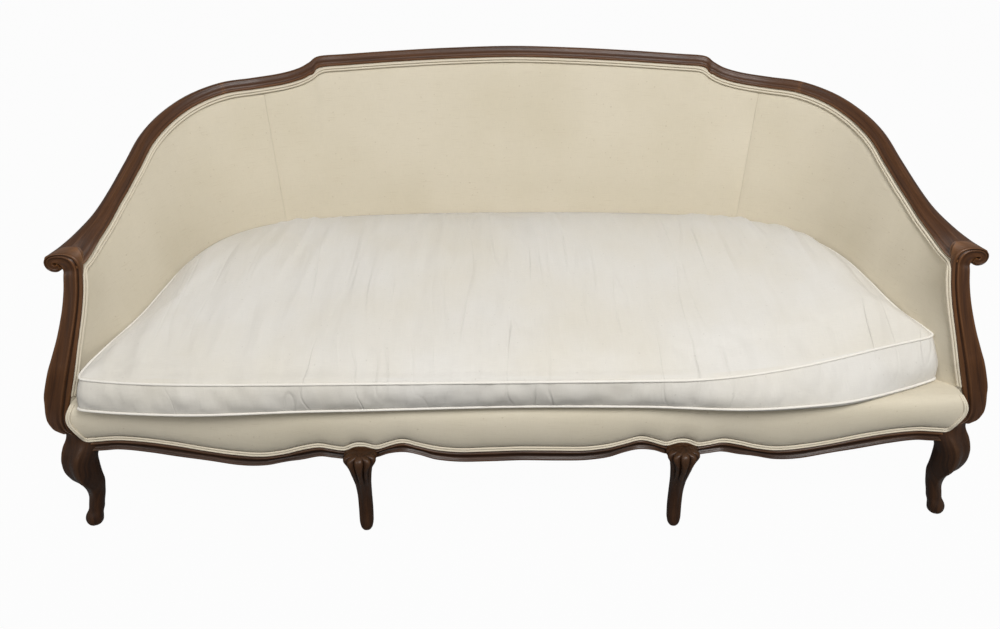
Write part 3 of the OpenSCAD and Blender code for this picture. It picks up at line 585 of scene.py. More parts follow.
@lru_cache(maxsize=100000)
def _column(wall: Wall, t: float) -> Column:
    """Section of the wall at place t, kept for the next caller.

    Args:
        wall: the wall.
        t: place along it.

    Returns:
        The section.
    """

    def outward(run: Vector) -> Vector:
        """Level direction away from the seat, square to a step along the wall."""
        return Vector((-run.y, run.x, 0)).normalized()

    run = wall.run(t)
    out_top, out_foot = outward(run), outward(wall.run(t, foot=True))
    share = wall.post_share(t)
    lift = min(1.45, run.length / Vector((run.x, run.y)).length)
    ridge = wall.ridge_at(t)
    w = wall.rail_w(t)
    top = Vector((ridge.x - out_top.x * w, ridge.y - out_top.y * w, ridge.z - wall.face_h * lift))
    foot = wall.foot_at(t)
    return Column(
        foot=Vector((foot.x, foot.y, 0)),
        top=top,
        out_foot=out_foot,
        out_top=out_top,
        base=wall.rail_top,
        lean=0.014 * share * (1 if t > 0 else -1),
        depth_foot=lerp(wall.foot_t, 0.052, share),
        depth_top=lerp(wall.inner_w + wall.outer_w, 0.041, share),
        lift=lift,
    )


# Finishes


class NodeBuilder:
    """Short hand for making and joining shader nodes in a tree."""

    def __init__(self, tree: NodeTree) -> None:
        """Keeps the tree that the nodes go into."""
        self.tree = tree
        self.count = 0

    def add(self, kind: str, **settings: object) -> Node:
        """New node with its settings, laid out in rows.

        Args:
            kind: the node's type name, without ShaderNode.
            **settings: properties of the node; inputs are given as a dict under "inputs".

        Returns:
            The node.
        """
        inputs = settings.pop("inputs", {})
        node = self.tree.nodes.new(f"ShaderNode{kind}")
        node.location = (220 * (self.count % 8), -260 * (self.count // 8))
        self.count += 1
        for key, value in settings.items():
            setattr(node, key, value)
        self.fill(node, inputs)
        return node

    def fill(self, node: Node, inputs: dict[str | int, object]) -> None:
        """Joins or sets several inputs of a node."""
        for key, value in inputs.items():
            self.feed(node.inputs[key], value)

    def feed(self, socket: NodeSocket, value: object) -> None:
        """Joins a socket to another one, or sets its value.

        Args:
            socket: the socket.
            value: another socket, or a constant.
        """
        if isinstance(value, NodeSocket):
            self.tree.links.new(value, socket)
        else:
            socket.default_value = value

    def coordinates(self, by_length: bool) -> NodeSocket:
        """Coordinates along the piece's own lengths, or else in its object's frame."""
        node = self.add("UVMap" if by_length else "TexCoord")
        return node.outputs["UV" if by_length else "Object"]

    def times(self, a: object, b: object, clamp: bool = False) -> NodeSocket:
        """Product of two numbers or sockets."""
        return self.math("MULTIPLY", a, b, clamp)

    def plus(self, a: object, b: object) -> NodeSocket:
        """Sum of two numbers or sockets."""
        return self.math("ADD", a, b)

    def math(self, operation: str, a: object, b: object = 0.0, clamp: bool = False) -> NodeSocket:
        """Result of an operation on two numbers or sockets."""
        return self.add("Math", operation=operation, use_clamp=clamp, inputs={0: a, 1: b}).outputs[0]

    def mix(self, share: object, a: object, b: object, blend: str = "MIX") -> NodeSocket:
        """Mix of two colours."""
        inputs = {0: share, 6: a, 7: b}
        return self.add("Mix", data_type="RGBA", blend_type=blend, inputs=inputs).outputs[2]

    def stretch(self, vector: NodeSocket, scale: Triple) -> NodeSocket:
        """Coordinates scaled along each axis."""
        return self.add("VectorMath", operation="MULTIPLY", inputs={0: vector, 1: scale}).outputs[0]

    def bump(self, strength: float, distance: float, height: NodeSocket) -> Node:
        """Node that turns a height into a normal."""
        return self.add("Bump", inputs={"Strength": strength, "Distance": distance, "Height": height})

    def noise(self, vector: NodeSocket, scale: float, detail: float = 3.0) -> NodeSocket:
        """Noise value at the coordinates."""
        node = self.add("TexNoise", inputs={"Vector": vector, "Scale": scale, "Detail": detail})
        return node.outputs["Fac"]

    def ramp(self, value: object, stops: Sequence[tuple[float, float]]) -> NodeSocket:
        """Grey ramp through the stops (place, grey).

        Args:
            value: number or socket to look up.
            stops: places and their greys.

        Returns:
            The grey's socket.
        """
        node = self.add("ValToRGB")
        elements = node.color_ramp.elements
        while len(elements) < len(stops):
            elements.new(0.5)
        for element, (place, grey) in zip(elements, stops):
            element.position = place
            element.color = (grey, grey, grey, 1)
        self.feed(node.inputs[0], value)
        return node.outputs[0]


def new_group(name: str, inputs: Sequence[tuple[str, str]], outputs: Sequence[tuple[str, str]]) -> tuple[
    NodeTree, NodeBuilder, Node, Node
]:
    """Empty shader node group with named sockets.

    Args:
        name: the group's name.
        inputs: name and socket type of each input.
        outputs: name and socket type of each output.

    Returns:
        The tree, a builder for it, its input node and its output node.
    """
    tree = bpy.data.node_groups.new(name, "ShaderNodeTree")
    for socket, kind in inputs:
        tree.interface.new_socket(name=socket, in_out="INPUT", socket_type=f"NodeSocket{kind}")
    for socket, kind in outputs:
        tree.interface.new_socket(name=socket, in_out="OUTPUT", socket_type=f"NodeSocket{kind}")
    build = NodeBuilder(tree)
    return tree, build, tree.nodes.new("NodeGroupInput"), tree.nodes.new("NodeGroupOutput")


def weave_group() -> NodeTree:
    """Plain weave with slubs, worn soil and specks, on coordinates in metres.

    Returns:
        The group.
    """
    tree, build, given, out = new_group(
        "cloth_weave",
        [("Vector", "Vector"), ("Base", "Color"), ("Slub", "Color"), ("Soil", "Color"), ("Slubs", "Float"),
         ("Threads", "Float"), ("Mottle", "Float")],
        [("Color", "Color"), ("Height", "Float"), ("Roughness", "Float")],
    )
    vector = given.outputs["Vector"]
    parts = build.add("SeparateXYZ", inputs={0: vector})
    warp = build.math("SINE", build.times(parts.outputs[0], given.outputs["Threads"]))
    weft = build.math("SINE", build.times(parts.outputs[1], given.outputs["Threads"]))
    weave = build.times(warp, weft)
    thick = build.noise(build.stretch(vector, (22.0, 900.0, 1.0)), 1.0, 2.0)
    fine = build.noise(build.stretch(vector, (900.0, 40.0, 1.0)), 1.0, 2.0)
    slub = build.ramp(thick, [(0.60, 0.0), (0.72, 1.0)])
    large = build.noise(vector, 3.2, 4.0)
    speck = build.ramp(build.noise(vector, 150.0, 0.0), [(0.80, 0.0), (0.84, 1.0)])
    soft = build.times(slub, given.outputs["Slubs"])
    soiled = build.times(build.ramp(large, [(0.38, 0.0), (0.68, 1.0)]), given.outputs["Mottle"])
    colour = build.mix(soiled, given.outputs["Base"], given.outputs["Soil"])
    colour = build.mix(soft, colour, given.outputs["Slub"])
    tone = build.times(build.plus(build.times(fine, 0.10), 0.95), build.plus(build.times(thick, 0.10), 0.95))
    tone = build.plus(tone, build.times(weave, 0.02))
    grey = build.add("CombineColor", inputs={0: tone, 1: tone, 2: tone}).outputs[0]
    colour = build.mix(1.0, colour, grey, "MULTIPLY")
    colour = build.mix(build.times(speck, 0.5), colour, given.outputs["Slub"])
    height = build.plus(build.times(weave, 0.35), build.times(thick, 1.1))
    height = build.plus(height, build.times(fine, 0.5))
    roughness = build.plus(build.times(thick, 0.15), 0.72)
    build.fill(out, {"Color": colour, "Height": height, "Roughness": roughness})
    return tree


def grain_group() -> NodeTree:
    """Straight wood grain along the first coordinate, with pores and wear on the arrises.

    Returns:
        The group.
    """
    tree, build, given, out = new_group(
        "wood_grain",
        [("Vector", "Vector"), ("Light", "Color"), ("Dark", "Color"), ("Worn", "Color"), ("Relief", "Float"),
         ("Wear", "Float")],
        [("Color", "Color"), ("Height", "Float"), ("Roughness", "Float")],
    )
    vector = given.outputs["Vector"]
    figure = build.noise(build.stretch(vector, (3.0, 60.0, 60.0)), 1.0, 5.0)
    streak = build.noise(build.stretch(vector, (9.0, 420.0, 420.0)), 1.0, 3.0)
    pits = build.noise(build.stretch(vector, (60.0, 1500.0, 1500.0)), 1.0, 1.0)
    pores = build.ramp(pits, [(0.62, 0.0), (0.70, 1.0)])
    share = build.plus(build.times(figure, 0.75), build.times(streak, 0.45))
    figured = build.ramp(share, [(0.36, 0.0), (0.80, 1.0)])
    colour = build.mix(figured, given.outputs["Light"], given.outputs["Dark"])
    colour = build.mix(build.times(pores, 0.55), colour, given.outputs["Dark"])
    patch = build.noise(vector, 14.0, 3.0)
    arris = build.times(build.ramp(given.outputs["Relief"], [(0.10, 0.0), (0.55, 1.0)]),
                        build.ramp(patch, [(0.30, 0.35), (0.62, 1.0)]))
    colour = build.mix(build.times(arris, given.outputs["Wear"], True), colour, given.outputs["Worn"])
    # The colour darkens towards near black in the hollows, where the relief is concave.
    hollow = build.ramp(build.times(given.outputs["Relief"], -1.0), [(0.08, 0.0), (0.5, 1.0)])
    hollow_dark = build.add("CombineColor", inputs={0: 0.010, 1: 0.006, 2: 0.004}).outputs[0]
    colour = build.mix(build.times(hollow, 0.85), colour, hollow_dark)
    height = build.math("SUBTRACT", build.times(streak, 0.35), pores)
    roughness = build.plus(build.times(patch, 0.25), 0.30)
    build.fill(out, {"Color": colour, "Height": height, "Roughness": roughness})
    return tree


@dataclass(frozen=True)
class WoodFinish:
    """Wood with grain along the piece.

    Attributes:
        name: the material's name.
        light: colour between the grain lines.
        dark: colour of the grain lines.
        worn: colour where the arris is rubbed.
        wear: how much the arrises are rubbed.
        gloss: weight of the polish.
        by_length: whether the grain follows the piece's own lengths.
    """

    name: str
    light: Triple
    dark: Triple
    worn: Triple
    wear: float = 0.5
    gloss: float = 0.25
    by_length: bool = True

    def material(self, groups: "Groups") -> Material:
        """Material of the finish.

        Args:
            groups: the shared node groups.

        Returns:
            The new material.
        """
        mat, build, shader = blank_material(self.name)
        relief = build.add("Attribute", attribute_name="relief").outputs["Fac"]
        group = build.add("Group", node_tree=groups.grain, inputs={
            "Vector": build.coordinates(self.by_length), "Light": (*self.light, 1), "Dark": (*self.dark, 1),
            "Worn": (*self.worn, 1), "Relief": relief, "Wear": self.wear,
        }).outputs
        dent = build.bump(0.25, 0.0004, group["Height"])
        # Painted shade: below about 0.21 m the wood's colour is halved, rising to full at 0.32 m, so the legs
        # and rails near the floor look shaded.
        parts = build.add("SeparateXYZ", inputs={0: build.coordinates(False)})
        painted_low_shade = build.ramp(build.times(parts.outputs["Z"], 2.0), [(0.42, 0.5), (0.64, 1.0)])
        build.fill(shader, {
            "Base Color": build.mix(1.0, group["Color"], painted_low_shade, "MULTIPLY"), "Roughness": group["Roughness"],
            "Normal": dent.outputs[0], "Specular IOR Level": 0.28,
            "Coat Weight": self.gloss, "Coat Roughness": 0.25,
        })
        return mat


@dataclass(frozen=True)
class ClothFinish:
    """Woven cloth.

    Attributes:
        name: the material's name.
        base: colour of the cloth.
        slub: colour of its thick threads.
        soil: colour where it is soiled or yellowed.
        slubs: how much the thick threads show.
        mottle: how much the soil shows.
        threads: turns of the weave for each metre.
        sheen: weight of the fibre sheen.
        depth: height of the weave in metres.
        by_length: whether the threads follow the piece's own lengths.
        creases: depth of the pressed creases that run from front to back; where it is set, shade is also
            painted along them.
    """

    name: str
    base: Triple
    slub: Triple
    soil: Triple
    slubs: float = 0.3
    mottle: float = 0.35
    threads: float = 5200.0
    sheen: float = 0.25
    depth: float = 0.0004
    by_length: bool = True
    creases: float = 0.0

    def material(self, groups: "Groups") -> Material:
        """Material of the finish.

        Args:
            groups: the shared node groups.

        Returns:
            The new material.
        """
        mat, build, shader = blank_material(self.name)
        group = build.add("Group", node_tree=groups.weave, inputs={
            "Vector": build.coordinates(self.by_length), "Base": (*self.base, 1), "Slub": (*self.slub, 1),
            "Soil": (*self.soil, 1), "Slubs": self.slubs, "Threads": self.threads, "Mottle": self.mottle,
        }).outputs
        dent = build.bump(0.5, self.depth, group["Height"])
        colour = self.crease(build, group["Color"], dent) if self.creases else group["Color"]
        build.fill(shader, {
            "Base Color": colour, "Roughness": group["Roughness"], "Normal": dent.outputs[0],
            "Sheen Weight": self.sheen, "Sheen Roughness": 0.4,
        })
        return mat

    def crease(self, build: NodeBuilder, colour: NodeSocket,
               dent: Node) -> NodeSocket:
        """Adds thin creases under the weave and darkens the cloth along them as painted shade.

        Args:
            build: builder of the material's nodes.
            colour: colour of the cloth.
            dent: the weave's bump node.

        Returns:
            The colour with the creases in it.
        """
        place = build.coordinates(False)
        line = build.noise(build.stretch(place, (19.0, 1.7, 7.0)), 1.0, 0.6)
        away = build.math("ABSOLUTE", build.math("SUBTRACT", line, 0.5))
        ridge = build.ramp(away, [(0.0, 1.0), (0.035, 0.0)])
        where = build.ramp(build.noise(place, 4.6, 1.0), [(0.45, 0.0), (0.75, 0.6)])
        thin = build.times(ridge, where)
        soft = build.times(build.noise(build.stretch(place, (11.0, 1.9, 5.0)), 1.0, 2.5), 6.0)
        fold = build.bump(1.0, self.creases, build.math("SUBTRACT", soft, thin))
        build.feed(dent.inputs["Normal"], fold.outputs[0])
        # Painted shade: along the thin creases the cloth is darkened a quarter of the way towards the slub
        # colour.
        return build.mix(build.times(thin, 0.25), colour, (*self.slub, 1))


@dataclass(frozen=True)
class MetalFinish:
    """Plain metal with a dull skin.

    Attributes:
        name: the material's name.
        bright: colour of the bare metal.
        dull: colour of its tarnish.
        metallic: how metallic it is.
    """

    name: str
    bright: Triple
    dull: Triple
    metallic: float = 1.0

    def material(self, groups: "Groups") -> Material:
        """Material of the finish.

        Args:
            groups: the shared node groups, which this finish doesn't need.

        Returns:
            The new material.
        """
        mat, build, shader = blank_material(self.name)
        patch = build.noise(build.coordinates(False), 90.0, 4.0)
        colour = build.mix(build.ramp(patch, [(0.4, 0.0), (0.65, 1.0)]), (*self.bright, 1), (*self.dull, 1))
        roughness = build.plus(build.times(patch, 0.4), 0.2)
        build.fill(shader, {"Base Color": colour, "Roughness": roughness, "Metallic": self.metallic})
        return mat


def blank_material(name: str) -> tuple[Material, NodeBuilder, Node]:
    """New material with only its shader and output.

    Args:
        name: the material's name.

    Returns:
        The material, a builder for its nodes and its shader.
    """
    mat = bpy.data.materials.new(name)
    mat.use_nodes = True
    mat.node_tree.nodes.clear()
    build = NodeBuilder(mat.node_tree)
    shader = build.add("BsdfPrincipled")
    out = build.add("OutputMaterial")
    build.feed(out.inputs["Surface"], shader.outputs[0])
    return mat, build, shader


@dataclass
class Groups:
    """Node groups that the finishes share.

    Attributes:
        weave: plain weave.
        grain: wood grain.
    """

    weave: NodeTree = field(default_factory=weave_group)
    grain: NodeTree = field(default_factory=grain_group)


class Palette:
    """Every finish of the piece.

    Attributes:
        finishes: the finishes by the record's material slot.
    """

    finishes: dict[str, WoodFinish | ClothFinish | MetalFinish] = {
        "walnut": WoodFinish("walnut_polished", (0.106, 0.041, 0.0130), (0.024, 0.0088, 0.0036),
                             (0.27, 0.120, 0.044), wear=0.65, gloss=0.10),
        "beech": WoodFinish("beech_bare", (0.60, 0.42, 0.25), (0.46, 0.30, 0.17), (0.66, 0.50, 0.33),
                            wear=0.2, gloss=0.0, by_length=False),
        "cream_linen": ClothFinish("linen_cream", (0.63, 0.57, 0.45), (0.44, 0.37, 0.26), (0.56, 0.50, 0.37),
                                   slubs=0.5, mottle=0.55),
        "cream_welt": ClothFinish("linen_welt", (0.66, 0.595, 0.47), (0.44, 0.37, 0.27), (0.58, 0.50, 0.38),
                                  slubs=0.2, mottle=0.3),
        "white_linen": ClothFinish("linen_white", (0.645, 0.622, 0.578), (0.51, 0.485, 0.44),
                                   (0.60, 0.555, 0.46), slubs=0.22, mottle=0.6, creases=0.0028),
        "white_welt": ClothFinish("linen_white_welt", (0.76, 0.73, 0.67), (0.60, 0.57, 0.51),
                                  (0.70, 0.66, 0.57), slubs=0.15, mottle=0.3),
        "jute": ClothFinish("jute_woven", (0.40, 0.27, 0.13), (0.24, 0.15, 0.07), (0.46, 0.34, 0.18),
                            slubs=0.6, threads=2100.0, depth=0.001, by_length=False),
        "hair_stuffing": ClothFinish("hair_curled", (0.17, 0.12, 0.08), (0.08, 0.055, 0.035),
                                     (0.22, 0.17, 0.12), slubs=0.8, threads=1500.0, depth=0.002,
                                     by_length=False),
        "cushion_filling": ClothFinish("ticking", (0.80, 0.78, 0.74), (0.68, 0.66, 0.62), (0.78, 0.75, 0.69),
                                       by_length=False),
        "black_cambric": ClothFinish("cambric_black", (0.022, 0.022, 0.024), (0.035, 0.035, 0.036),
                                     (0.05, 0.047, 0.043), slubs=0.3, mottle=0.3, sheen=0.1, by_length=False),
        "spring_steel": MetalFinish("spring_wire", (0.36, 0.33, 0.30), (0.14, 0.09, 0.06)),
        "zip_tape": MetalFinish("zip_nylon", (0.78, 0.76, 0.72), (0.70, 0.67, 0.61), metallic=0.0),
    }

    def __init__(self) -> None:
        """Makes the shared groups and one material for each slot."""
        self.groups = Groups()
        self.made = {slot: finish.material(self.groups) for slot, finish in self.finishes.items()}

    def dress(self, obj: Object, slot: str) -> None:
        """Gives an object the finish of a slot."""
        obj.data.materials.clear()
        obj.data.materials.append(self.made[slot])


@dataclass
class Workshop:
    """What every sub-assembly needs: the wall's shape, the finishes and a log of pieces.

    Attributes:
        wall: shape of the wall.
        palette: finishes.
        pieces: pieces made so far.
    """

    wall: Wall
    palette: Palette
    frame: dict
    pieces: list[Object] = field(default_factory=list)

    def add(self, obj: Object, slot: str, body: Body = Body.FRAME,
            replaces: Sequence[str] = ()) -> Object:
        """Dresses a piece, sets it on its body and reports it.

        Args:
            obj: the finished piece.
            slot: material slot of the record.
            body: body that it rides on.
            replaces: CAD nodes that it stands for.

        Returns:
            The same object.
        """
        self.palette.dress(obj, slot)
        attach(obj, body.value)
        if replaces:
            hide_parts(*replaces)
        self.pieces.append(obj)
        log.info("%s: %d faces, %s", obj.name, len(obj.data.polygons), slot)
        return obj

    def add_pair(self, right: Object, slot: str, nodes: Sequence[str]) -> list[Object]:
        """Adds a right-hand piece and its mirror image for the left.

        Args:
            right: the finished piece, with the word right in its name.
            slot: material slot of the record.
            nodes: CAD nodes that each piece stands for, without the word for their side.

        Returns:
            The right-hand piece and the left-hand one.
        """
        left = mirrored(right.name.replace(Side.RIGHT.tag, Side.LEFT.tag), right)
        for side, piece in ((Side.RIGHT, right), (Side.LEFT, left)):
            self.add(piece, slot, replaces=[f"{node}_{side.tag}" for node in nodes])
        return [right, left]


# Show wood


@dataclass
class ShowRails:
    """Moulded rail along the top: the crest and the two arm rails.

    Attributes:
        shop: shared workshop.
        crest_end: place where the crest meets the arm rails.
        step: distance between stations.
        inner: profile from the inner edge to the ridge, in shares of width and height.
        outer: profile from the ridge to the outer edge.
        mitre: place of the fine joint line at the crest's corner.
        gap: height of the rail over the wall's top.
        saw: width of the joint between the crest and an arm rail, in places.
        overhang: distances past the wall's end of the rail's last stations.
    """

    shop: Workshop
    crest_end: float = 9.0
    step: float = 0.006
    inner: tuple[Point, ...] = (
        (0.02, 0.0), (0.0, 0.03), (0.0, 0.13), (0.03, 0.18), (0.10, 0.215), (0.17, 0.235), (0.20, 0.27),
        (0.22, 0.34), (0.25, 0.385), (0.33, 0.43), (0.44, 0.50), (0.54, 0.59), (0.62, 0.69), (0.68, 0.80),
        (0.72, 0.885), (0.76, 0.905), (0.80, 0.92), (0.85, 0.965), (0.92, 0.993), (1.0, 1.0),
    )
    outer: tuple[Point, ...] = (
        (0.14, 0.992), (0.30, 0.972), (0.46, 0.94), (0.62, 0.885), (0.76, 0.80), (0.87, 0.69),
        (0.95, 0.56), (0.99, 0.42), (1.0, 0.25), (1.0, 0.05), (0.97, 0.0),
    )
    mitre: float = 4.5
    gap: float = 0.0004
    saw: float = 0.008
    overhang: tuple[float, ...] = (0.004, 0.008, 0.0116)

    def ring(self, t: float, ahead: float = 0.0) -> Ring:
        """Section of the rail at place t, moved ahead past the wall's end.

        Args:
            t: place along the wall.
            ahead: distance past the end.

        Returns:
            Points round the section.
        """
        wall = self.shop.wall
        column = wall.column(t)
        w = wall.rail_w(t)
        h = wall.face_h * column.lift
        out = column.out_top
        run = wall.run(t)
        forward = Vector((run.x, run.y, 0)).normalized() * ahead * (1 if t > 0 else -1)
        base = column.top + forward + Vector((0, 0, self.gap))
        cut = 0.0007 * bump(abs(t), self.mitre, 0.035)
        places = [(w * a + cut, h * b - cut) for a, b in self.inner]
        places += [(w + wall.outer_w * a - cut, h * b - cut) for a, b in self.outer]
        return [base + out * n + Vector((0, 0, z)) for n, z in places]

    def build(self) -> None:
        """Makes the crest and both arm rails."""
        wall, shop = self.shop.wall, self.shop
        rings = [self.ring(t) for t in wall.places(-self.crest_end, self.crest_end, self.step)]
        shop.add(loft("crest_show_rail", rings), "walnut", replaces=["crest_rail"])
        rings = [self.ring(t) for t in wall.places(self.crest_end + self.saw, wall.last, self.step)]
        rings += [self.ring(wall.last, a) for a in self.overhang]
        shop.add_pair(loft("arm_show_rail_right", rings), "walnut", ["arm_rail"])


@dataclass
class ArmPosts:
    """Carved S-shaped arm posts that curl outwards into a scroll.

    Attributes:
        shop: shared workshop.
        rows: height, inner X, outer X and front Y of the post.
        curl: inner-edge and outer-edge points round the scroll, as X and Z.
        relief: share across the face and depth of its carving.
        scroll_depth: depth of the scroll from front to back.
        lip: depth of the lip in front of the inside panel.
        rabbet: width of the rabbet that takes the panel.
        step: distance between stations.
        root: front Y at the scroll's start and on the scroll.
    """

    shop: Workshop
    rows: tuple[Point, ...] = (
        (0.2500, 0.9578, 0.9870, -0.3650), (0.2560, 0.9650, 0.9985, -0.3648), (0.2619, 0.9695, 1.0068, -0.3638),
        (0.2750, 0.9716, 1.0158, -0.3600), (0.2850, 0.9712, 1.0188, -0.3562), (0.2960, 0.9695, 1.0198, -0.3522),
        (0.3120, 0.9650, 1.0190, -0.3476), (0.3365, 0.9573, 1.0159, -0.3428),
        (0.3850, 0.9420, 0.9990, -0.3360), (0.4136, 0.9347, 0.9874, -0.3274), (0.4600, 0.9235, 0.9690, -0.3130),
        (0.5101, 0.9119, 0.9537, -0.2965), (0.5500, 0.9050, 0.9455, -0.2830), (0.5800, 0.9022, 0.9420, -0.2735),
    )
    curl: tuple[tuple[Point, Point], ...] = (
        ((0.9018, 0.5980), (0.9418, 0.5890)), ((0.9040, 0.6120), (0.9430, 0.5955)),
        ((0.9110, 0.6225), (0.9445, 0.6000)), ((0.9235, 0.6285), (0.9475, 0.6040)),
        ((0.9380, 0.6300), (0.9510, 0.6065)), ((0.9530, 0.6285), (0.9545, 0.6075)),
        ((0.9660, 0.6235), (0.9570, 0.6072)), ((0.9740, 0.6150), (0.9582, 0.6060)),
        ((0.9760, 0.6045), (0.9583, 0.6045)), ((0.9720, 0.5945), (0.9573, 0.6032)),
        ((0.9635, 0.5890), (0.9558, 0.6028)), ((0.9540, 0.5882), (0.9543, 0.6030)),
        ((0.9465, 0.5920), (0.9532, 0.6040)), ((0.9440, 0.5985), (0.9530, 0.6050)),
    )
    relief: tuple[Point, ...] = (
        (0.0, 0.0060), (0.008, 0.0035), (0.03, 0.0012), (0.07, 0.0001), (0.11, 0.0), (0.15, 0.0007),
        (0.185, 0.0028), (0.205, 0.0046), (0.235, 0.0040), (0.26, 0.0018), (0.29, 0.0004), (0.33, 0.0),
        (0.37, 0.0006), (0.42, 0.0022), (0.50, 0.0036), (0.60, 0.0038), (0.70, 0.0030), (0.80, 0.0018),
        (0.88, 0.0012), (0.94, 0.0018), (0.98, 0.0042), (1.0, 0.0085),
    )
    scroll_depth: float = 0.038
    lip: float = 0.008
    rabbet: float = 0.0094
    step: float = 0.004
    root: tuple[float, float] = (-0.2695, -0.2655)

    @classmethod
    def edge_at(cls, z: float) -> list[float]:
        """Inner X and front Y of the post at a height."""
        table = [(row[0], row[1], row[3]) for row in cls.rows]
        return table_at([*table, (0.600, 0.9018, -0.2690), (0.620, 0.9018, -0.2665)], z)

    def stations(self) -> list[tuple[Vector, Vector, float]]:
        """Inner edge, outer edge and scroll share along the post, evenly spaced.

        Returns:
            A list of inner point, outer point and share, which is 1 on the scroll.
        """
        pairs = [(Vector((r[1], r[3], r[0])), Vector((r[2], r[3], r[0])), 0.0) for r in self.rows]
        for k, (a, b) in enumerate(self.curl):
            share = min(1.0, (k + 1) / 4)
            y = lerp(*self.root, share)
            pairs.append((Vector((a[0], y, a[1])), Vector((b[0], y, b[1])), share))
        inner = [tuple(p[0]) for p in pairs]
        outer = [tuple(p[1]) for p in pairs]
        out = []
        for k in range(len(pairs) - 1):
            span = (pairs[k + 1][0] - pairs[k][0]).length
            parts = max(1, round(span / self.step))
            for i in range(parts):
                t = k + i / parts
                share = lerp(pairs[k][2], pairs[k + 1][2], i / parts)
                out.append((along(inner, t), along(outer, t), share))
        out.append((pairs[-1][0], pairs[-1][1], 1.0))
        return out

    def ring(self, inner: Vector, outer: Vector, scroll: float) -> Ring:
        """Section of the post between its two edges.

        Args:
            inner: point on the edge towards the seat.
            outer: point on the outer edge.
            scroll: share of the way into the scroll.

        Returns:
            Points round the section.
        """
        wall = self.shop.wall
        column = wall.column(wall.last)
        v = max(0.0, min(1.0, column.level(inner.z)))
        back_out = column.point(v, column.depth(v)).y
        depth_low = max(0.018, back_out - inner.y - 0.0006)
        back = Vector((-0.2 * scroll, 1, 0)).normalized()
        depth = lerp(depth_low, self.scroll_depth, scroll)
        width = (outer - inner).length
        scale = min(1.0, width / 0.040)
        front = [inner.lerp(outer, a) + back * (d * scale) for a, d in self.relief]
        rabbet = min(0.45, self.rabbet / max(width, 1e-5)) * (1 - scroll)
        deep = back * depth
        lip = back * lerp(self.lip, depth * 0.9, scroll)
        return front + [
            outer + deep * 0.5,
            outer + deep,
            inner.lerp(outer, 0.5) + deep,
            inner.lerp(outer, max(rabbet, 0.02)) + deep,
            inner.lerp(outer, max(rabbet, 0.01)) + lip,
            inner + lip,
        ]

    def build(self) -> None:
        """Makes both posts."""
        right = loft("arm_show_post_right", [self.ring(*station) for station in self.stations()])
        self.shop.add_pair(right, "walnut", ["arm_post"])


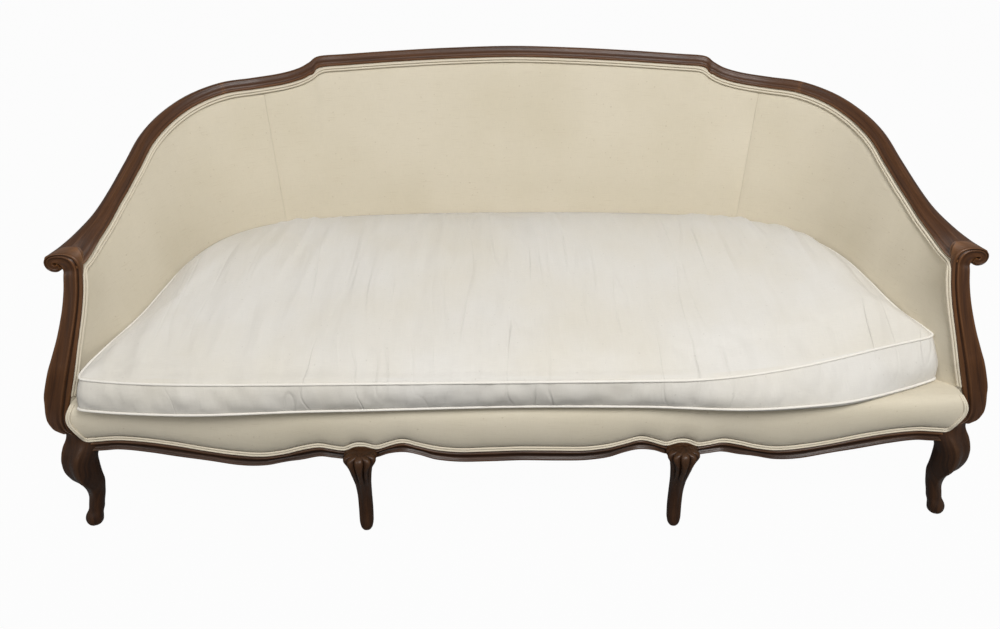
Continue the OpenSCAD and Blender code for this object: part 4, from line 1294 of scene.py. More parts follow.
@dataclass
class FrontRail:
    """Serpentine moulded front rail between the corner legs.

    Attributes:
        shop: shared workshop.
        half: rows of X, ledge height and lower edge for the right half.
        thickness: rail's thickness from face to back.
        set_back: how far the rail's face lies behind the foremost place.
        bow: how far the face bows back at the ends.
        low: height of the plain part's underside, behind the shaped apron.
        top: height of the rail's top.
        end: X of its end.
        breaks: rows of half after which the lower edge steps, beside a middle leg.
        fan: X of the two steps, where the leg's shell stands in front of the rail.
    """

    shop: Workshop
    half: tuple[Point, ...] = (
        (0.0, 0.2075, 0.1824), (0.0784, 0.2055, 0.1801), (0.1379, 0.2045, 0.1801), (0.1881, 0.2109, 0.1870),
        (0.2288, 0.2226, 0.2021), (0.2570, 0.2314, 0.2081), (0.2884, 0.2229, 0.2049), (0.3171, 0.2124, 0.1944),
        (0.3175, 0.2131, 0.2099), (0.3317, 0.2196, 0.2156), (0.3499, 0.2224, 0.2184), (0.3681, 0.2190, 0.2150),
        (0.3822, 0.2096, 0.2062), (0.3828, 0.2094, 0.1898), (0.4121, 0.2146, 0.1938), (0.4380, 0.2200, 0.1969),
        (0.4794, 0.2120, 0.1881), (0.5104, 0.2021, 0.1830), (0.5596, 0.1941, 0.1721), (0.6139, 0.1975, 0.1721),
        (0.6837, 0.2089, 0.1850), (0.7432, 0.2220, 0.1949), (0.8079, 0.2326, 0.2069), (0.8675, 0.2371, 0.2140),
        (0.9037, 0.2340, 0.2109), (0.9290, 0.2312, 0.2090),
    )
    thickness: float = 0.048
    set_back: float = 0.040
    bow: float = 0.020
    low: float = 0.212
    top: float = 0.285
    end: float = 0.929
    breaks: tuple[int, int] = (7, 12)
    fan: tuple[float, float] = (0.3173, 0.3825)

    def face(self, x: float) -> float:
        """Y of the rail's face at x."""
        wall = self.shop.wall
        return wall.front + self.set_back + self.bow * (x / wall.half_width) ** 2

    def heights(self, x: float) -> list[float]:
        """Ledge height and lower edge at x.

        Args:
            x: place along the rail, on either side.

        Returns:
            The two heights.
        """
        rows, breaks = self.half, self.breaks
        x = min(abs(x), rows[-1][0])
        k = max(i for i, row in enumerate(rows[:-1]) if row[0] <= x + 1e-9)
        u = (x - rows[k][0]) / (rows[k + 1][0] - rows[k][0])
        if k in breaks:
            return [lerp(rows[k][i], rows[k + 1][i], u) for i in (1, 2)]
        a = rows[k - 1] if k > 0 and k - 1 not in breaks else rows[k]
        d = rows[k + 2] if k + 2 < len(rows) and k + 1 not in breaks else rows[k + 1]
        return list(along([row[1:] for row in (a, rows[k], rows[k + 1], d)], 1 + u))

    def ring(self, x: float) -> Ring:
        """Section of the rail at x.

        Args:
            x: place along the rail.

        Returns:
            Points round the section.
        """
        ledge, low = self.heights(x)
        y = self.face(x)
        under = max(low, self.low)
        h = ledge - low
        cove = 0.002 if self.fan[0] < abs(x) < self.fan[1] else 0.0045
        profile = [
            (0.0090, 0.00), (0.0030, 0.00), (0.0008, 0.02), (-0.0008, 0.07), (-0.0012, 0.13), (-0.0006, 0.19),
            (0.0010, 0.235), (0.0016, 0.26), (0.0012, 0.30), (cove * 0.8, 0.37), (cove * 1.05, 0.46),
            (cove * 0.95, 0.56), (cove * 0.6, 0.66), (0.0012, 0.74), (0.0006, 0.78), (0.0002, 0.84),
            (0.0008, 0.91), (0.0030, 0.965), (0.0065, 1.0),
        ]
        section = [(self.thickness * 0.7, under), (0.022, lerp(low, under, 0.3))]
        section += [(d, low + h * s) for d, s in profile]
        section += [
            (0.0139, ledge + 0.0004), (0.0140, lerp(ledge, self.top, 0.5)), (0.0140, self.top),
            (self.thickness, self.top), (self.thickness, under + 0.004),
        ]
        return [Vector((x, y + d, z)) for d, z in section]

    def build(self) -> None:
        """Makes the rail."""
        steps = [self.half[k + i][0] for k in self.breaks for i in (0, 1)]
        xs = {round(x, 5) for x in spaced(-self.end, self.end, 300)} | {s * x for x in steps for s in (-1, 1)}
        rail = loft("front_show_rail", [self.ring(x) for x in sorted(xs)])
        self.shop.add(rail, "walnut", replaces=["front_rail"])


def leg_ring(cx: float, cy: float, rx: float, ry: float, z: float, sides: int = 40, power: float = 0.8,
             carve: Callable[[float], float] | None = None) -> Ring:
    """Rounded square ring of a leg, with carving as a share of its radius.

    Args:
        cx: X of the centre.
        cy: Y of the centre.
        rx: half width.
        ry: half depth.
        z: height.
        sides: points round it.
        power: 1 for an oval, less for a squarer ring.
        carve: growth of the radius by angle.

    Returns:
        The ring's points.
    """
    ring = []
    for a in spaced(0, 2 * math.pi, sides)[:-1]:
        c, s = math.cos(a), math.sin(a)
        grow = 1 + (carve(a) if carve else 0)
        x = cx + grow * rx * math.copysign(abs(c) ** power, c)
        y = cy + grow * ry * math.copysign(abs(s) ** power, s)
        ring.append(Vector((x, y, z)))
    return ring


@dataclass
class Legs:
    """Four carved front legs and four plain raked rear legs.

    Attributes:
        shop: shared workshop.
        corner: height, centre X, centre Y, half width and half depth of the right corner leg.
        middle: height, half width, front Y and half depth of a middle leg.
        rear: height share, width share and rake share of a rear leg.
        leg_x: X of the right middle leg.
        rear_w: width of a rear leg at its top.
        rake: how far a rear leg's foot stands out from its top.
        rear_h: height of a rear leg.
        rear_places: places along the wall of the corner and the middle rear leg.
    """

    shop: Workshop
    corner: tuple[Point, ...] = (
        (0.0000, 0.9742, -0.3665, 0.0120, 0.0120), (0.0030, 0.9742, -0.3665, 0.0158, 0.0158),
        (0.0085, 0.9742, -0.3665, 0.0176, 0.0176), (0.0170, 0.9735, -0.3658, 0.0182, 0.0182),
        (0.0256, 0.9716, -0.3638, 0.0175, 0.0175), (0.0370, 0.9668, -0.3592, 0.0162, 0.0162),
        (0.0499, 0.9643, -0.3566, 0.0160, 0.0160), (0.0698, 0.9603, -0.3527, 0.0164, 0.0164),
        (0.0884, 0.9592, -0.3512, 0.0185, 0.0185), (0.1069, 0.9603, -0.3527, 0.0231, 0.0225),
        (0.1268, 0.9652, -0.3575, 0.0290, 0.0275), (0.1510, 0.9680, -0.3605, 0.0330, 0.0310),
        (0.1795, 0.9670, -0.3600, 0.0338, 0.0315), (0.1990, 0.9620, -0.3560, 0.0352, 0.0310),
        (0.2130, 0.9560, -0.3510, 0.0370, 0.0290), (0.2250, 0.9500, -0.3470, 0.0385, 0.0262),
        (0.2370, 0.9460, -0.3452, 0.0398, 0.0240), (0.2490, 0.9449, -0.3450, 0.0400, 0.0236),
    )
    middle: tuple[Point, ...] = (
        (0.0000, 0.0060, -0.4057, 0.0085), (0.0020, 0.0096, -0.4080, 0.0110), (0.0071, 0.0130, -0.4103, 0.0137),
        (0.0200, 0.0155, -0.4095, 0.0152), (0.0499, 0.0160, -0.4027, 0.0152), (0.0898, 0.0160, -0.4011, 0.0160),
        (0.1254, 0.0174, -0.4080, 0.0190), (0.1553, 0.0205, -0.4179, 0.0243), (0.1750, 0.0235, -0.4247, 0.0304),
        (0.1850, 0.0262, -0.4272, 0.0330), (0.1930, 0.0298, -0.4280, 0.0345), (0.1990, 0.0335, -0.4278, 0.0345),
        (0.2040, 0.0355, -0.4270, 0.0342), (0.2085, 0.0352, -0.4255, 0.0335), (0.2125, 0.0318, -0.4235, 0.0325),
        (0.2155, 0.0255, -0.4205, 0.0310), (0.2174, 0.0165, -0.4160, 0.0285), (0.2180, 0.0080, -0.4100, 0.0250),
    )
    rear: tuple[Point, ...] = ((0, 0.66, 1), (0.2, 0.68, 0.78), (0.5, 0.78, 0.42), (0.8, 0.92, 0.13), (1, 1, 0))
    leg_x: float = 0.34986
    rear_w: float = 0.040
    rake: float = 0.045
    rear_h: float = 0.2116
    rear_places: tuple[float, float] = (9.95, 2.25)

    @staticmethod
    def ridges(z: float, a: float) -> float:
        """Carving of a corner leg: two raised ridges from the knee to the foot.

        Args:
            z: height.
            a: angle round the leg.

        Returns:
            Growth of the radius as a share of it.
        """
        depth = lerp(0.08, 0.30, smooth((z - 0.03) / 0.12)) * (1 - 0.6 * smooth((z - 0.21) / 0.03))
        turn = (a + math.pi / 4 + math.pi) % (2 * math.pi) - math.pi
        ridge = sum(math.exp(-(((turn - c) / 0.16) ** 2)) for c in (-0.85, 0.55))
        hollow = math.exp(-(((turn + 0.15) / 0.42) ** 2))
        return depth * (ridge * 0.55 - hollow * 0.75)

    @staticmethod
    def shell(z: float, a: float) -> float:
        """Carving of a middle leg: a fluted shell on the knee and a spine down the shin.

        Args:
            z: height.
            a: angle round the leg.

        Returns:
            Growth of the radius as a share of it.
        """
        fan = 0.20 * smooth((z - 0.12) / 0.05) * (1 - 0.6 * smooth((z - 0.213) / 0.005))
        spine = 0.14 * smooth((z - 0.03) / 0.05) * (1 - smooth((z - 0.17) / 0.03))
        turn = (a + math.pi / 2 + math.pi) % (2 * math.pi) - math.pi
        flute = fan * smooth((1.75 - abs(turn)) / 0.5) * (abs(math.cos(turn * 5.5)) ** 0.7 - 0.7)
        return flute + spine * (math.exp(-((turn / 0.22) ** 2)) - 0.5 * math.exp(-((turn / 0.8) ** 2)))

    def corner_leg(self) -> Object:
        """Right corner leg.

        Returns:
            The leg.
        """
        rings = []
        for z in spaced(0.0, self.corner[-1][0], 72):
            rings.append(leg_ring(*table_at(self.corner, z), z, 56, 0.82, partial(self.ridges, z)))
        return loft("corner_show_leg_right", rings)

    def middle_leg(self) -> Object:
        """Right middle leg.

        Returns:
            The leg.
        """
        rings = []
        for z in spaced(0.0, self.middle[-1][0], 84):
            w, front, half = table_at(self.middle, z)
            rings.append(leg_ring(self.leg_x, front + half, w, half, z, 88, 0.86, partial(self.shell, z)))
        return loft("middle_show_leg_right", rings)

    def rear_leg(self, place: float, name: str) -> Object:
        """Rear leg at a place of the wall.

        Args:
            place: place along the wall.
            name: the piece's name.

        Returns:
            The leg.
        """
        centre = self.shop.wall.rear_leg(place)
        out = self.shop.wall.column(place).out_foot
        rings = []
        for s in spaced(0, 1, 40):
            w, rake = table_at(self.rear, s)
            half = w * self.rear_w / 2
            x, y = centre.x + out.x * self.rake * rake, centre.y + out.y * self.rake * rake
            rings.append(leg_ring(x, y, half, half, s * self.rear_h, 32, 0.62))
        return loft(name, rings)

    def build(self) -> None:
        """Makes all eight legs."""
        shop = self.shop
        shop.add_pair(self.corner_leg(), "walnut", ["front_leg"])
        shop.add_pair(self.middle_leg(), "walnut", ["front_leg_mid"])
        for place, word in zip(self.rear_places, ("", "_mid")):
            shop.add_pair(self.rear_leg(place, f"rear_show_leg{word}_right"), "walnut", [f"rear_leg{word}"])


# Upholstery


@dataclass
class WallPads:
    """Padded inside panels, outside panels and their double welt.

    Attributes:
        shop: shared workshop.
        seam: place of the seam between the back and an arm, inside.
        outside_seam: place of the seam on the outside.
        puff: how far the padding swells above the cushion.
        step: distance between stations.
        welt_r: radius of a cord.
        drops: height of each cord from the wall's top.
        cord_in: distance of the cords in front of the inside panel.
        cloth: thickness of an outside panel.
        hem: height of the outside panels' lower edge.
        hem_post: the same beside the post, over the end of the side rail.
    """

    shop: Workshop
    seam: float = 7.7
    outside_seam: float = 9.9
    puff: float = 0.0045
    step: float = 0.0085
    welt_r: float = 0.0025
    drops: tuple[float, float] = (-0.0042, -0.0100)
    cord_in: float = 0.0027
    cloth: float = 0.0035
    hem: float = 0.212
    hem_post: float = 0.2504

    def swell(self, v: float, s: float, ends: tuple[float, float], z: float) -> float:
        """How far the cover stands in front of its plain face.

        Args:
            v: height share.
            s: distance along the panel.
            ends: first and last distance of the panel.
            z: height.

        Returns:
            Distance towards the seat in metres, which may be negative.
        """
        above = smooth((z - 0.47) / 0.12)
        full = self.puff * above * math.sin(math.pi * min(1.0, max(0.0, v))) ** 0.6
        edge = min(s - ends[0], ends[1] - s)
        seam = -0.0014 * smooth(1 - edge / 0.006)
        top = -0.0035 * smooth(1 - (1 - v) * 0.55 / 0.035) if v > 0.5 else 0.0
        wave = 0.0011 * drift(s * 5.0, z * 4.0, 1.3) * above
        pull = 0.0007 * drift(s * 42.0, z * 5.0, 5.1) * smooth(1 - (1 - v) / 0.25)
        return full * smooth(edge / 0.05 + 0.35) + seam + top + wave + pull

    def inside(self, name: str, a: float, b: float, post: bool) -> Object:
        """One inside panel as a closed pad.

        Args:
            name: the piece's name.
            a: first place.
            b: last place.
            post: whether the last place runs on to the post's lip.

        Returns:
            The panel.
        """
        wall = self.shop.wall
        places = wall.places(a, b, self.step)
        lengths = wall.lengths(places)
        ends = (lengths[0] - (0.0 if a != -wall.last else 1.0), lengths[-1] + (1.0 if post else 0.0))
        rows = spaced(0, 1, 52)
        rings = []
        for t, s in zip(places, lengths):
            column = wall.column(t)
            front = [column.point(v, -self.swell(v, s, ends, column.point(v, 0).z)) for v in rows]
            share = wall.post_share(t)
            back = []
            for v in spaced(1, 0, 6):
                plain = column.depth(v) * lerp(wall.pad_foot, wall.pad_top, v)
                pad = lerp(plain, wall.pad_post, share) + 0.0014
                back.append(column.point(v, pad))
            rings.append(front + back)
        if post:
            for u in (0.35, 0.7, 1.0):
                rings.append(self.post_ring(rows, rings[len(places) - 1], u))
        return loft(name, rings)

    def post_ring(self, rows: Sequence[float], before: Ring, u: float) -> Ring:
        """Ring between the wall's end and the post's lip.

        Args:
            rows: height shares of the front rows.
            before: ring at the wall's end.
            u: share of the way to the lip.

        Returns:
            The ring.
        """
        ring = []
        for k, p in enumerate(before):
            x, y = ArmPosts.edge_at(p.z)
            depth = 0.0 if k < len(rows) else self.shop.wall.pad_post
            goal = Vector((x + depth, y + 0.0084, p.z))
            ring.append(p.lerp(goal, u))
        return ring

    def outside(self, name: str, a: float, b: float, lows: Callable[[float], float]) -> Object:
        """One outside panel as a thin padded cloth.

        Args:
            name: the piece's name.
            a: first place.
            b: last place.
            lows: height of the lower edge by place.

        Returns:
            The panel.
        """
        wall = self.shop.wall
        rings = []
        rows = 40
        places = wall.places(a, b, self.step * 1.4)
        lengths = wall.lengths(places)
        for t, s in zip(places, lengths):
            column = wall.column(t)
            edge = min(s, lengths[-1] - s)
            face, back = [], []
            low = lows(t)
            for k in range(-3, rows + 1):
                v = k / rows
                n = column.depth(max(v, 0))
                roll = -0.0004 * smooth(1 - edge / 0.007) - 0.0018 * smooth(1 - (1 - v) / 0.02)
                wave = 0.0008 + 0.0009 * smooth(edge / 0.06) * drift(s * 4.0, v * 2.0, 9.0)
                if v < 0:
                    p, q = column.point(0, n), column.point(0, n - self.cloth)
                    p.z = q.z = lerp(low, wall.rail_top, 1 + k / 3)
                    tuck = -0.0012 if k == -3 else wave
                    face.append(p + column.out_foot * tuck)
                    back.append(q)
                else:
                    face.append(column.point(v, n + roll + wave))
                    back.append(column.point(v, n - self.cloth))
            rings.append(face + back[::-6] + [back[0]])
        return loft(name, rings)

    def welt_paths(self) -> list[list[Vector]]:
        """Centre lines of the two cords along the inside, down the posts.

        Returns:
            The two lines.
        """
        wall = self.shop.wall
        paths = []
        for k, drop in enumerate(self.drops):
            row = []
            for t in wall.places(-wall.last, wall.last, 0.006):
                column = wall.column(t)
                row.append(wall.edge(t, column.top.z + drop, self.cord_in))
            ends = []
            for sign, start in ((-1, row[0]), (1, row[-1])):
                down = []
                for z in spaced(start.z - 0.004, 0.330, 44):
                    x, y = ArmPosts.edge_at(z)
                    down.append(Vector((sign * (x - 0.0020 - 0.0046 * k), y + 0.0074 + 0.0030 * k, z)))
                ends.append(down)
            paths.append(resampled(soften(list(reversed(ends[0])) + row + ends[1], 6), 0.005))
        return paths

    def build(self) -> None:
        """Makes the panels and the welt."""
        shop, last = self.shop, self.shop.wall.last
        back = self.inside("inside_back", -self.seam, self.seam, False)
        shop.add(back, "cream_linen", replaces=["back_cover", "back_stuffing", "back_hessian"])
        right = self.inside("inside_arm_right", self.seam + 0.005, last, True)
        for piece in shop.add_pair(right, "cream_linen", ["arm_cover", "arm_stuffing", "arm_hessian"]):
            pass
        back = self.outside("outside_back", -self.outside_seam, self.outside_seam, lambda t: self.hem)
        shop.add(back, "cream_linen", replaces=["outside_back_cover"])
        right = self.outside("outside_arm_right", self.outside_seam + 0.001, last,
                             lambda t: lerp(self.hem, self.hem_post, smooth((t - 17.5) / 0.2)))
        for piece in shop.add_pair(right, "cream_linen", ["outside_arm_cover"]):
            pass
        cords = [tube(f"cord_{k}", path, self.welt_r) for k, path in enumerate(self.welt_paths())]
        shop.add(joined("wall_double_welt", cords), "cream_welt", replaces=["wall_welt"])


def soften(points: Sequence[Vector], passes: int) -> list[Vector]:
    """Polyline with its corners rounded, ends kept.

    Args:
        points: the polyline.
        passes: how often it is smoothed.

    Returns:
        The rounded polyline.
    """
    row = list(points)
    for _ in range(passes):
        row = [row[0]] + [(a + 2 * b + c) / 4 for a, b, c in zip(row, row[1:], row[2:])] + [row[-1]]
    return row


@dataclass
class SeatFront:
    """Stuffed border over the front rail, its double welt, the deck and the dust cover.

    Attributes:
        shop: shared workshop.
        rail: front rail that the border sits on.
        deck: height of the deck.
        end_x: X of the border's end.
        reach: depth of the border from its face back.
        ledge_end: height of the ledge at the border's end.
        welt_r: radius of a cord.
        lifts: distance of each cord from the border's outline.
        under_z: height of the dust cover.
        clear: distance that the dust cover keeps from the middle of a rear leg.
    """

    shop: Workshop
    rail: FrontRail
    deck: float = 0.326
    end_x: float = 0.9455
    reach: float = 0.060
    ledge_end: float = 0.228
    welt_r: float = 0.0025
    lifts: tuple[float, float] = (0.0034, 0.0092)
    under_z: float = 0.2086
    clear: float = 0.026

    def ledge(self, x: float) -> float:
        """Height of the ledge that the welt lies on at x.

        Args:
            x: place along the rail.

        Returns:
            The height.
        """
        x = abs(x)
        last = self.rail.half[-1]
        if x <= last[0]:
            return self.rail.heights(x)[0]
        return lerp(last[1], self.ledge_end, (x - last[0]) / (self.end_x - last[0]))

    def end_bulge(self, z: float) -> float:
        """How far the border's end swells towards the post at a height."""
        return 0.0165 * bump(z, 0.296, 0.052)

    def ring(self, x: float) -> Ring:
        """Section of the border at x.

        Args:
            x: place along the rail.

        Returns:
            Points round the section.
        """
        y = self.rail.face(x)
        foot = self.ledge(x) + 0.0122
        h = self.deck - foot
        share = smooth((abs(x) - (self.end_x - 0.10)) / 0.10)
        back = y + self.reach
        profile = [
            (0.0136, 0.0), (0.0075, 0.0), (0.0035, 0.01), (0.0, 0.05), (-0.0032, 0.11), (-0.0062, 0.20),
            (-0.0082, 0.31), (-0.0092, 0.43), (-0.0092, 0.54), (-0.0082, 0.65), (-0.0062, 0.755),
            (-0.0028, 0.845), (0.0022, 0.91), (0.0085, 0.958), (0.0160, 0.985), (0.0240, 0.997),
        ]
        wave = 0.0010 * drift(x * 7.0, 0.3, 2.2)
        points = []
        for d, s in profile:
            z = foot + h * s
            ripple = wave * math.sin(math.pi * s) + 0.0005 * drift(x * 30, z * 12, 4.0)
            points.append(Vector((x, y + d * lerp(1, 0.75, share) + ripple, z)))
        top, low = self.deck - 0.0002, self.rail.top + 0.0006
        rear = ((lerp(y + 0.024, back, 0.5), top), (back, top), (back, low), (y + 0.0136, low))
        points += [Vector((x, *place)) for place in rear]
        sign = math.copysign(1, x)
        for p in points:
            p.x += sign * share * share * self.end_bulge(p.z)
        return points

    def front_path(self, lift: float) -> list[Vector]:
        """Line of one cord: down an end of the border, along the ledge and up the other end.

        Args:
            lift: distance from the border's outline inwards.

        Returns:
            Points of the cord's centre line.
        """
        half = []
        for x in spaced(0, self.end_x - 0.006, 260):
            half.append(Vector((x, self.rail.face(x) + 0.0035, self.ledge(x) + lift)))
        half += [p + Vector((0.0016, -0.0014, 0)) for p in self.ring(self.end_x - 0.0012 - 0.75 * lift)[3:15]]
        half = soften(resampled(half, 0.005), 3)
        left = [Vector((-p.x, p.y, p.z)) for p in reversed(half[1:])]
        return resampled(left + half, 0.005)

    def build(self) -> None:
        """Makes the border, its welt, the deck and the dust cover."""
        shop = self.shop
        border = loft("front_border_pad", [self.ring(x) for x in spaced(-self.end_x, self.end_x, 300)])
        shop.add(border, "cream_linen", replaces=["front_border"])
        paths = [self.front_path(lift) for lift in self.lifts]
        cords = [tube(f"front_cord_{k}", path, self.welt_r) for k, path in enumerate(paths)]
        shop.add(joined("front_double_welt", cords), "cream_welt", replaces=["front_welt"])
        deck = self.sheet_from_outline("deck_cloth", self.outline(0.002, 17.9), self.deck - 0.0010, 0.0230)
        shop.add(deck, "cream_linen", replaces=["deck_cover", "deck_stuffing", "spring_hessian"])
        under = self.dust_sheet()
        shop.add(under, "black_cambric", replaces=["dust_cover"])

    def outline(self, inset: float, corner: float) -> list[Vector]:
        """Plan of the deck between the wall and the border.

        Args:
            inset: distance from the wall's inner face.
            corner: place along the wall where the plan leaves it.

        Returns:
            Points of the plan.
        """
        wall = self.shop.wall
        row = []
        for t in wall.places(-corner, corner, 0.02):
            p = wall.edge(t, self.deck, inset)
            row.append(Vector((p.x, p.y, 0)))
        for x in spaced(0.937 * wall.half_width, -0.937 * wall.half_width, 90):
            row.append(Vector((x, self.rail.face(x) + self.reach - 0.006, 0)))
        return row

    def sheet_from_outline(self, name: str, outline: Sequence[Vector], top: float,
                           depth: float) -> Object:
        """Flat pad over an outline, cut into a net so that its top can sag.

        Args:
            name: the piece's name.
            outline: points of the outline in plan.
            top: height of the top.
            depth: thickness of the pad.

        Returns:
            The pad.
        """
        bm = outline_net(outline, 0.03)
        for v in bm.verts:
            v.co.z = top
            if not v.is_boundary:
                v.co.z -= 0.0012 * (0.5 + 0.5 * drift(v.co.x * 5, v.co.y * 5, 3))
        for v in second_skin(bm):
            v.co.z = top - depth
        return flat_piece(name, bm)

    def dust_sheet(self) -> Object:
        """Black cloth under the seat, tacked under the rails and cut round the rear legs.

        Returns:
            The cloth.
        """
        wall = self.shop.wall
        row = []
        legs = []
        for place in Legs.rear_places:
            c = wall.rear_leg(place)
            legs += [Vector((c.x, c.y, 0)), Vector((-c.x, c.y, 0))]
        for t in wall.places(-15.6, 15.6, 0.008):
            column = wall.column(t)
            pad = lerp(wall.foot_t * wall.pad_foot, wall.pad_post, wall.post_share(t))
            p = column.point(0, pad + 0.0128)
            p.z = 0
            for leg in legs:
                away = (p - leg).length
                if away < self.clear:
                    p = p - column.out_foot * (self.clear - away) * 1.2
            row.append(p)
        for x in spaced(row[-1].x - 0.004, -row[-1].x + 0.004, 80):
            row.append(Vector((x, self.rail.face(x) + 0.0476, 0)))
        bm = outline_net(row, 0.05)
        for v in bm.verts:
            wave = drift(v.co.x * 3, v.co.y * 3, 7)
            v.co.z = self.under_z - (0.0 if v.is_boundary else 0.0016 * (0.6 + 0.4 * wave))
        for v in second_skin(bm):
            v.co.z -= 0.0006
        return flat_piece("dust_cloth", bm)


def outline_net(outline: Sequence[Vector], cell: float) -> BMesh:
    """Flat face over an outline, cut into cells.

    Args:
        outline: points of the outline in plan.
        cell: size of a cell.

    Returns:
        The cut mesh.
    """
    bm = bmesh.new()
    verts = [bmesh.ops.create_vert(bm, co=p)["vert"][0] for p in outline]
    bmesh.ops.contextual_create(bm, geom=verts)
    for axis in (0, 1):
        low, high = min(p[axis] for p in outline), max(p[axis] for p in outline)
        n = int((high - low) / cell)
        for k in range(1, n):
            spot = Vector((0, 0, 0))
            spot[axis] = lerp(low, high, k / n)
            normal = Vector((0, 0, 0))
            normal[axis] = 1
            geometry = bm.verts[:] + bm.edges[:] + bm.faces[:]
            bmesh.ops.bisect_plane(bm, geom=geometry, plane_co=spot, plane_no=normal, dist=WELD)
    return bm


def second_skin(bm: BMesh) -> list[BMVert]:
    """Points of a second skin under a flat net, joined to it round the edge."""
    made = bmesh.ops.extrude_face_region(bm, geom=list(bm.faces))
    return [g for g in made["geom"] if isinstance(g, BMVert)]


def flat_piece(name: str, bm: BMesh) -> Object:
    """Object of a flat piece, with its plan in metres as UV.

    Args:
        name: the piece's name.
        bm: the mesh, which is freed.

    Returns:
        The new object.
    """
    bmesh.ops.recalc_face_normals(bm, faces=bm.faces)
    uv = bm.loops.layers.uv.new("UVMap")
    for face in bm.faces:
        for corner in face.loops:
            corner[uv].uv = (corner.vert.co.x, corner.vert.co.y)
    return into_object(name, bm)


@dataclass
class SeatInside:
    """Springs and webbing inside the seat.

    Attributes:
        shop: shared workshop.
        pitch_x: distance between springs along a row.
        pitch_y: distance between rows.
        columns: springs in a row.
        rows: rows of springs.
        radius: radius of a spring's ends.
        wire: radius of its wire.
        base: height of its foot.
        height: height of the spring.
        turns: turns of its wire.
        strap: half the width of a webbing strap.
        tack: depth behind the wall's inner face at which a strap is tacked.
        overlap: how far a strap runs on behind that.
    """

    shop: Workshop
    pitch_x: float = 0.200
    pitch_y: float = 0.165
    columns: int = 7
    rows: int = 3
    radius: float = 0.036
    wire: float = 0.0019
    base: float = 0.2120
    height: float = 0.0882
    turns: int = 3
    strap: float = 0.025
    tack: float = 0.043
    overlap: float = 0.008

    def places(self) -> list[Vector]:
        """Foot of each spring.

        Returns:
            Places in plan.
        """
        first = self.shop.wall.front + 0.24 * self.shop.wall.depth
        xs = [(i - (self.columns - 1) / 2) * self.pitch_x for i in range(self.columns)]
        return [Vector((x, first + k * self.pitch_y, 0)) for x in xs for k in range(self.rows)]

    def spring(self, foot: Vector, name: str) -> Object:
        """One hourglass coil spring.

        Args:
            foot: plan place of the spring.
            name: the piece's name.

        Returns:
            The spring.
        """
        path = []
        for s in spaced(0, 1, self.turns * 16):
            r = self.radius * lerp(0.68, 1.0, (2 * s - 1) ** 2)
            a = 2 * math.pi * self.turns * s
            z = self.base + 0.0024 + s * (self.height - 0.0044)
            path.append(foot + Vector((r * math.cos(a), r * math.sin(a), z)))
        return tube(name, path, self.wire, 6)

    def straps(self) -> Object:
        """Woven jute straps under the springs, the cross ones over the long ones.

        Returns:
            The straps as one piece.
        """
        shop, wall = self.shop, self.shop.wall
        low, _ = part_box("seat_webbing")
        parts = []
        xs = sorted({p.x for p in self.places()})
        ys = sorted({p.y for p in self.places()})
        rail = FrontRail(shop)
        ends = [wall.column(t).point(0, self.tack) for t in wall.places(0, 15, 0.02)]
        for k, x in enumerate(xs):
            back = min(ends, key=lambda p: abs(p.x - abs(x) - self.strap)).y + self.overlap
            rings = [self.strap_ring(Vector((x, y, low.z)), Vector((1, 0, 0)))
                     for y in spaced(rail.face(x) + 0.036, back, 60)]
            parts.append(loft(f"strap_long_{k}", rings))
        ends = [wall.column(t).point(0, self.tack) for t in wall.places(0, 17, 0.02)]
        for k, y in enumerate(ys):
            reach = min(ends, key=lambda p: abs(p.y - y - self.strap)).x + self.overlap
            rings = [self.strap_ring(Vector((x, y, low.z + 0.0012)), Vector((0, 1, 0)))
                     for x in spaced(-reach, reach, 120)]
            parts.append(loft(f"strap_cross_{k}", rings))
        return joined("webbing_straps", parts)

    def strap_ring(self, centre: Vector, across: Vector) -> Ring:
        """Section of a strap, slightly thicker at its two selvedges.

        Args:
            centre: middle of the underside.
            across: direction across the strap.

        Returns:
            Points round the section.
        """
        shares = (-1, -0.92, -0.84, 0, 0.84, 0.92, 1)
        places = [(s, 0.0 if abs(s) > 0.9 else 0.00012) for s in shares]
        places += [(s, 0.00116 if abs(s) > 0.9 else 0.00104) for s in reversed(shares)]
        return [centre + across * self.strap * s + Vector((0, 0, z)) for s, z in places]

    def build(self) -> None:
        """Makes the springs and straps."""
        shop = self.shop
        springs = [self.spring(foot, f"coil_{k}") for k, foot in enumerate(self.places())]
        shop.add(joined("coil_springs", springs), "spring_steel", replaces=["seat_springs"])
        shop.add(self.straps(), "jute", replaces=["seat_webbing"])


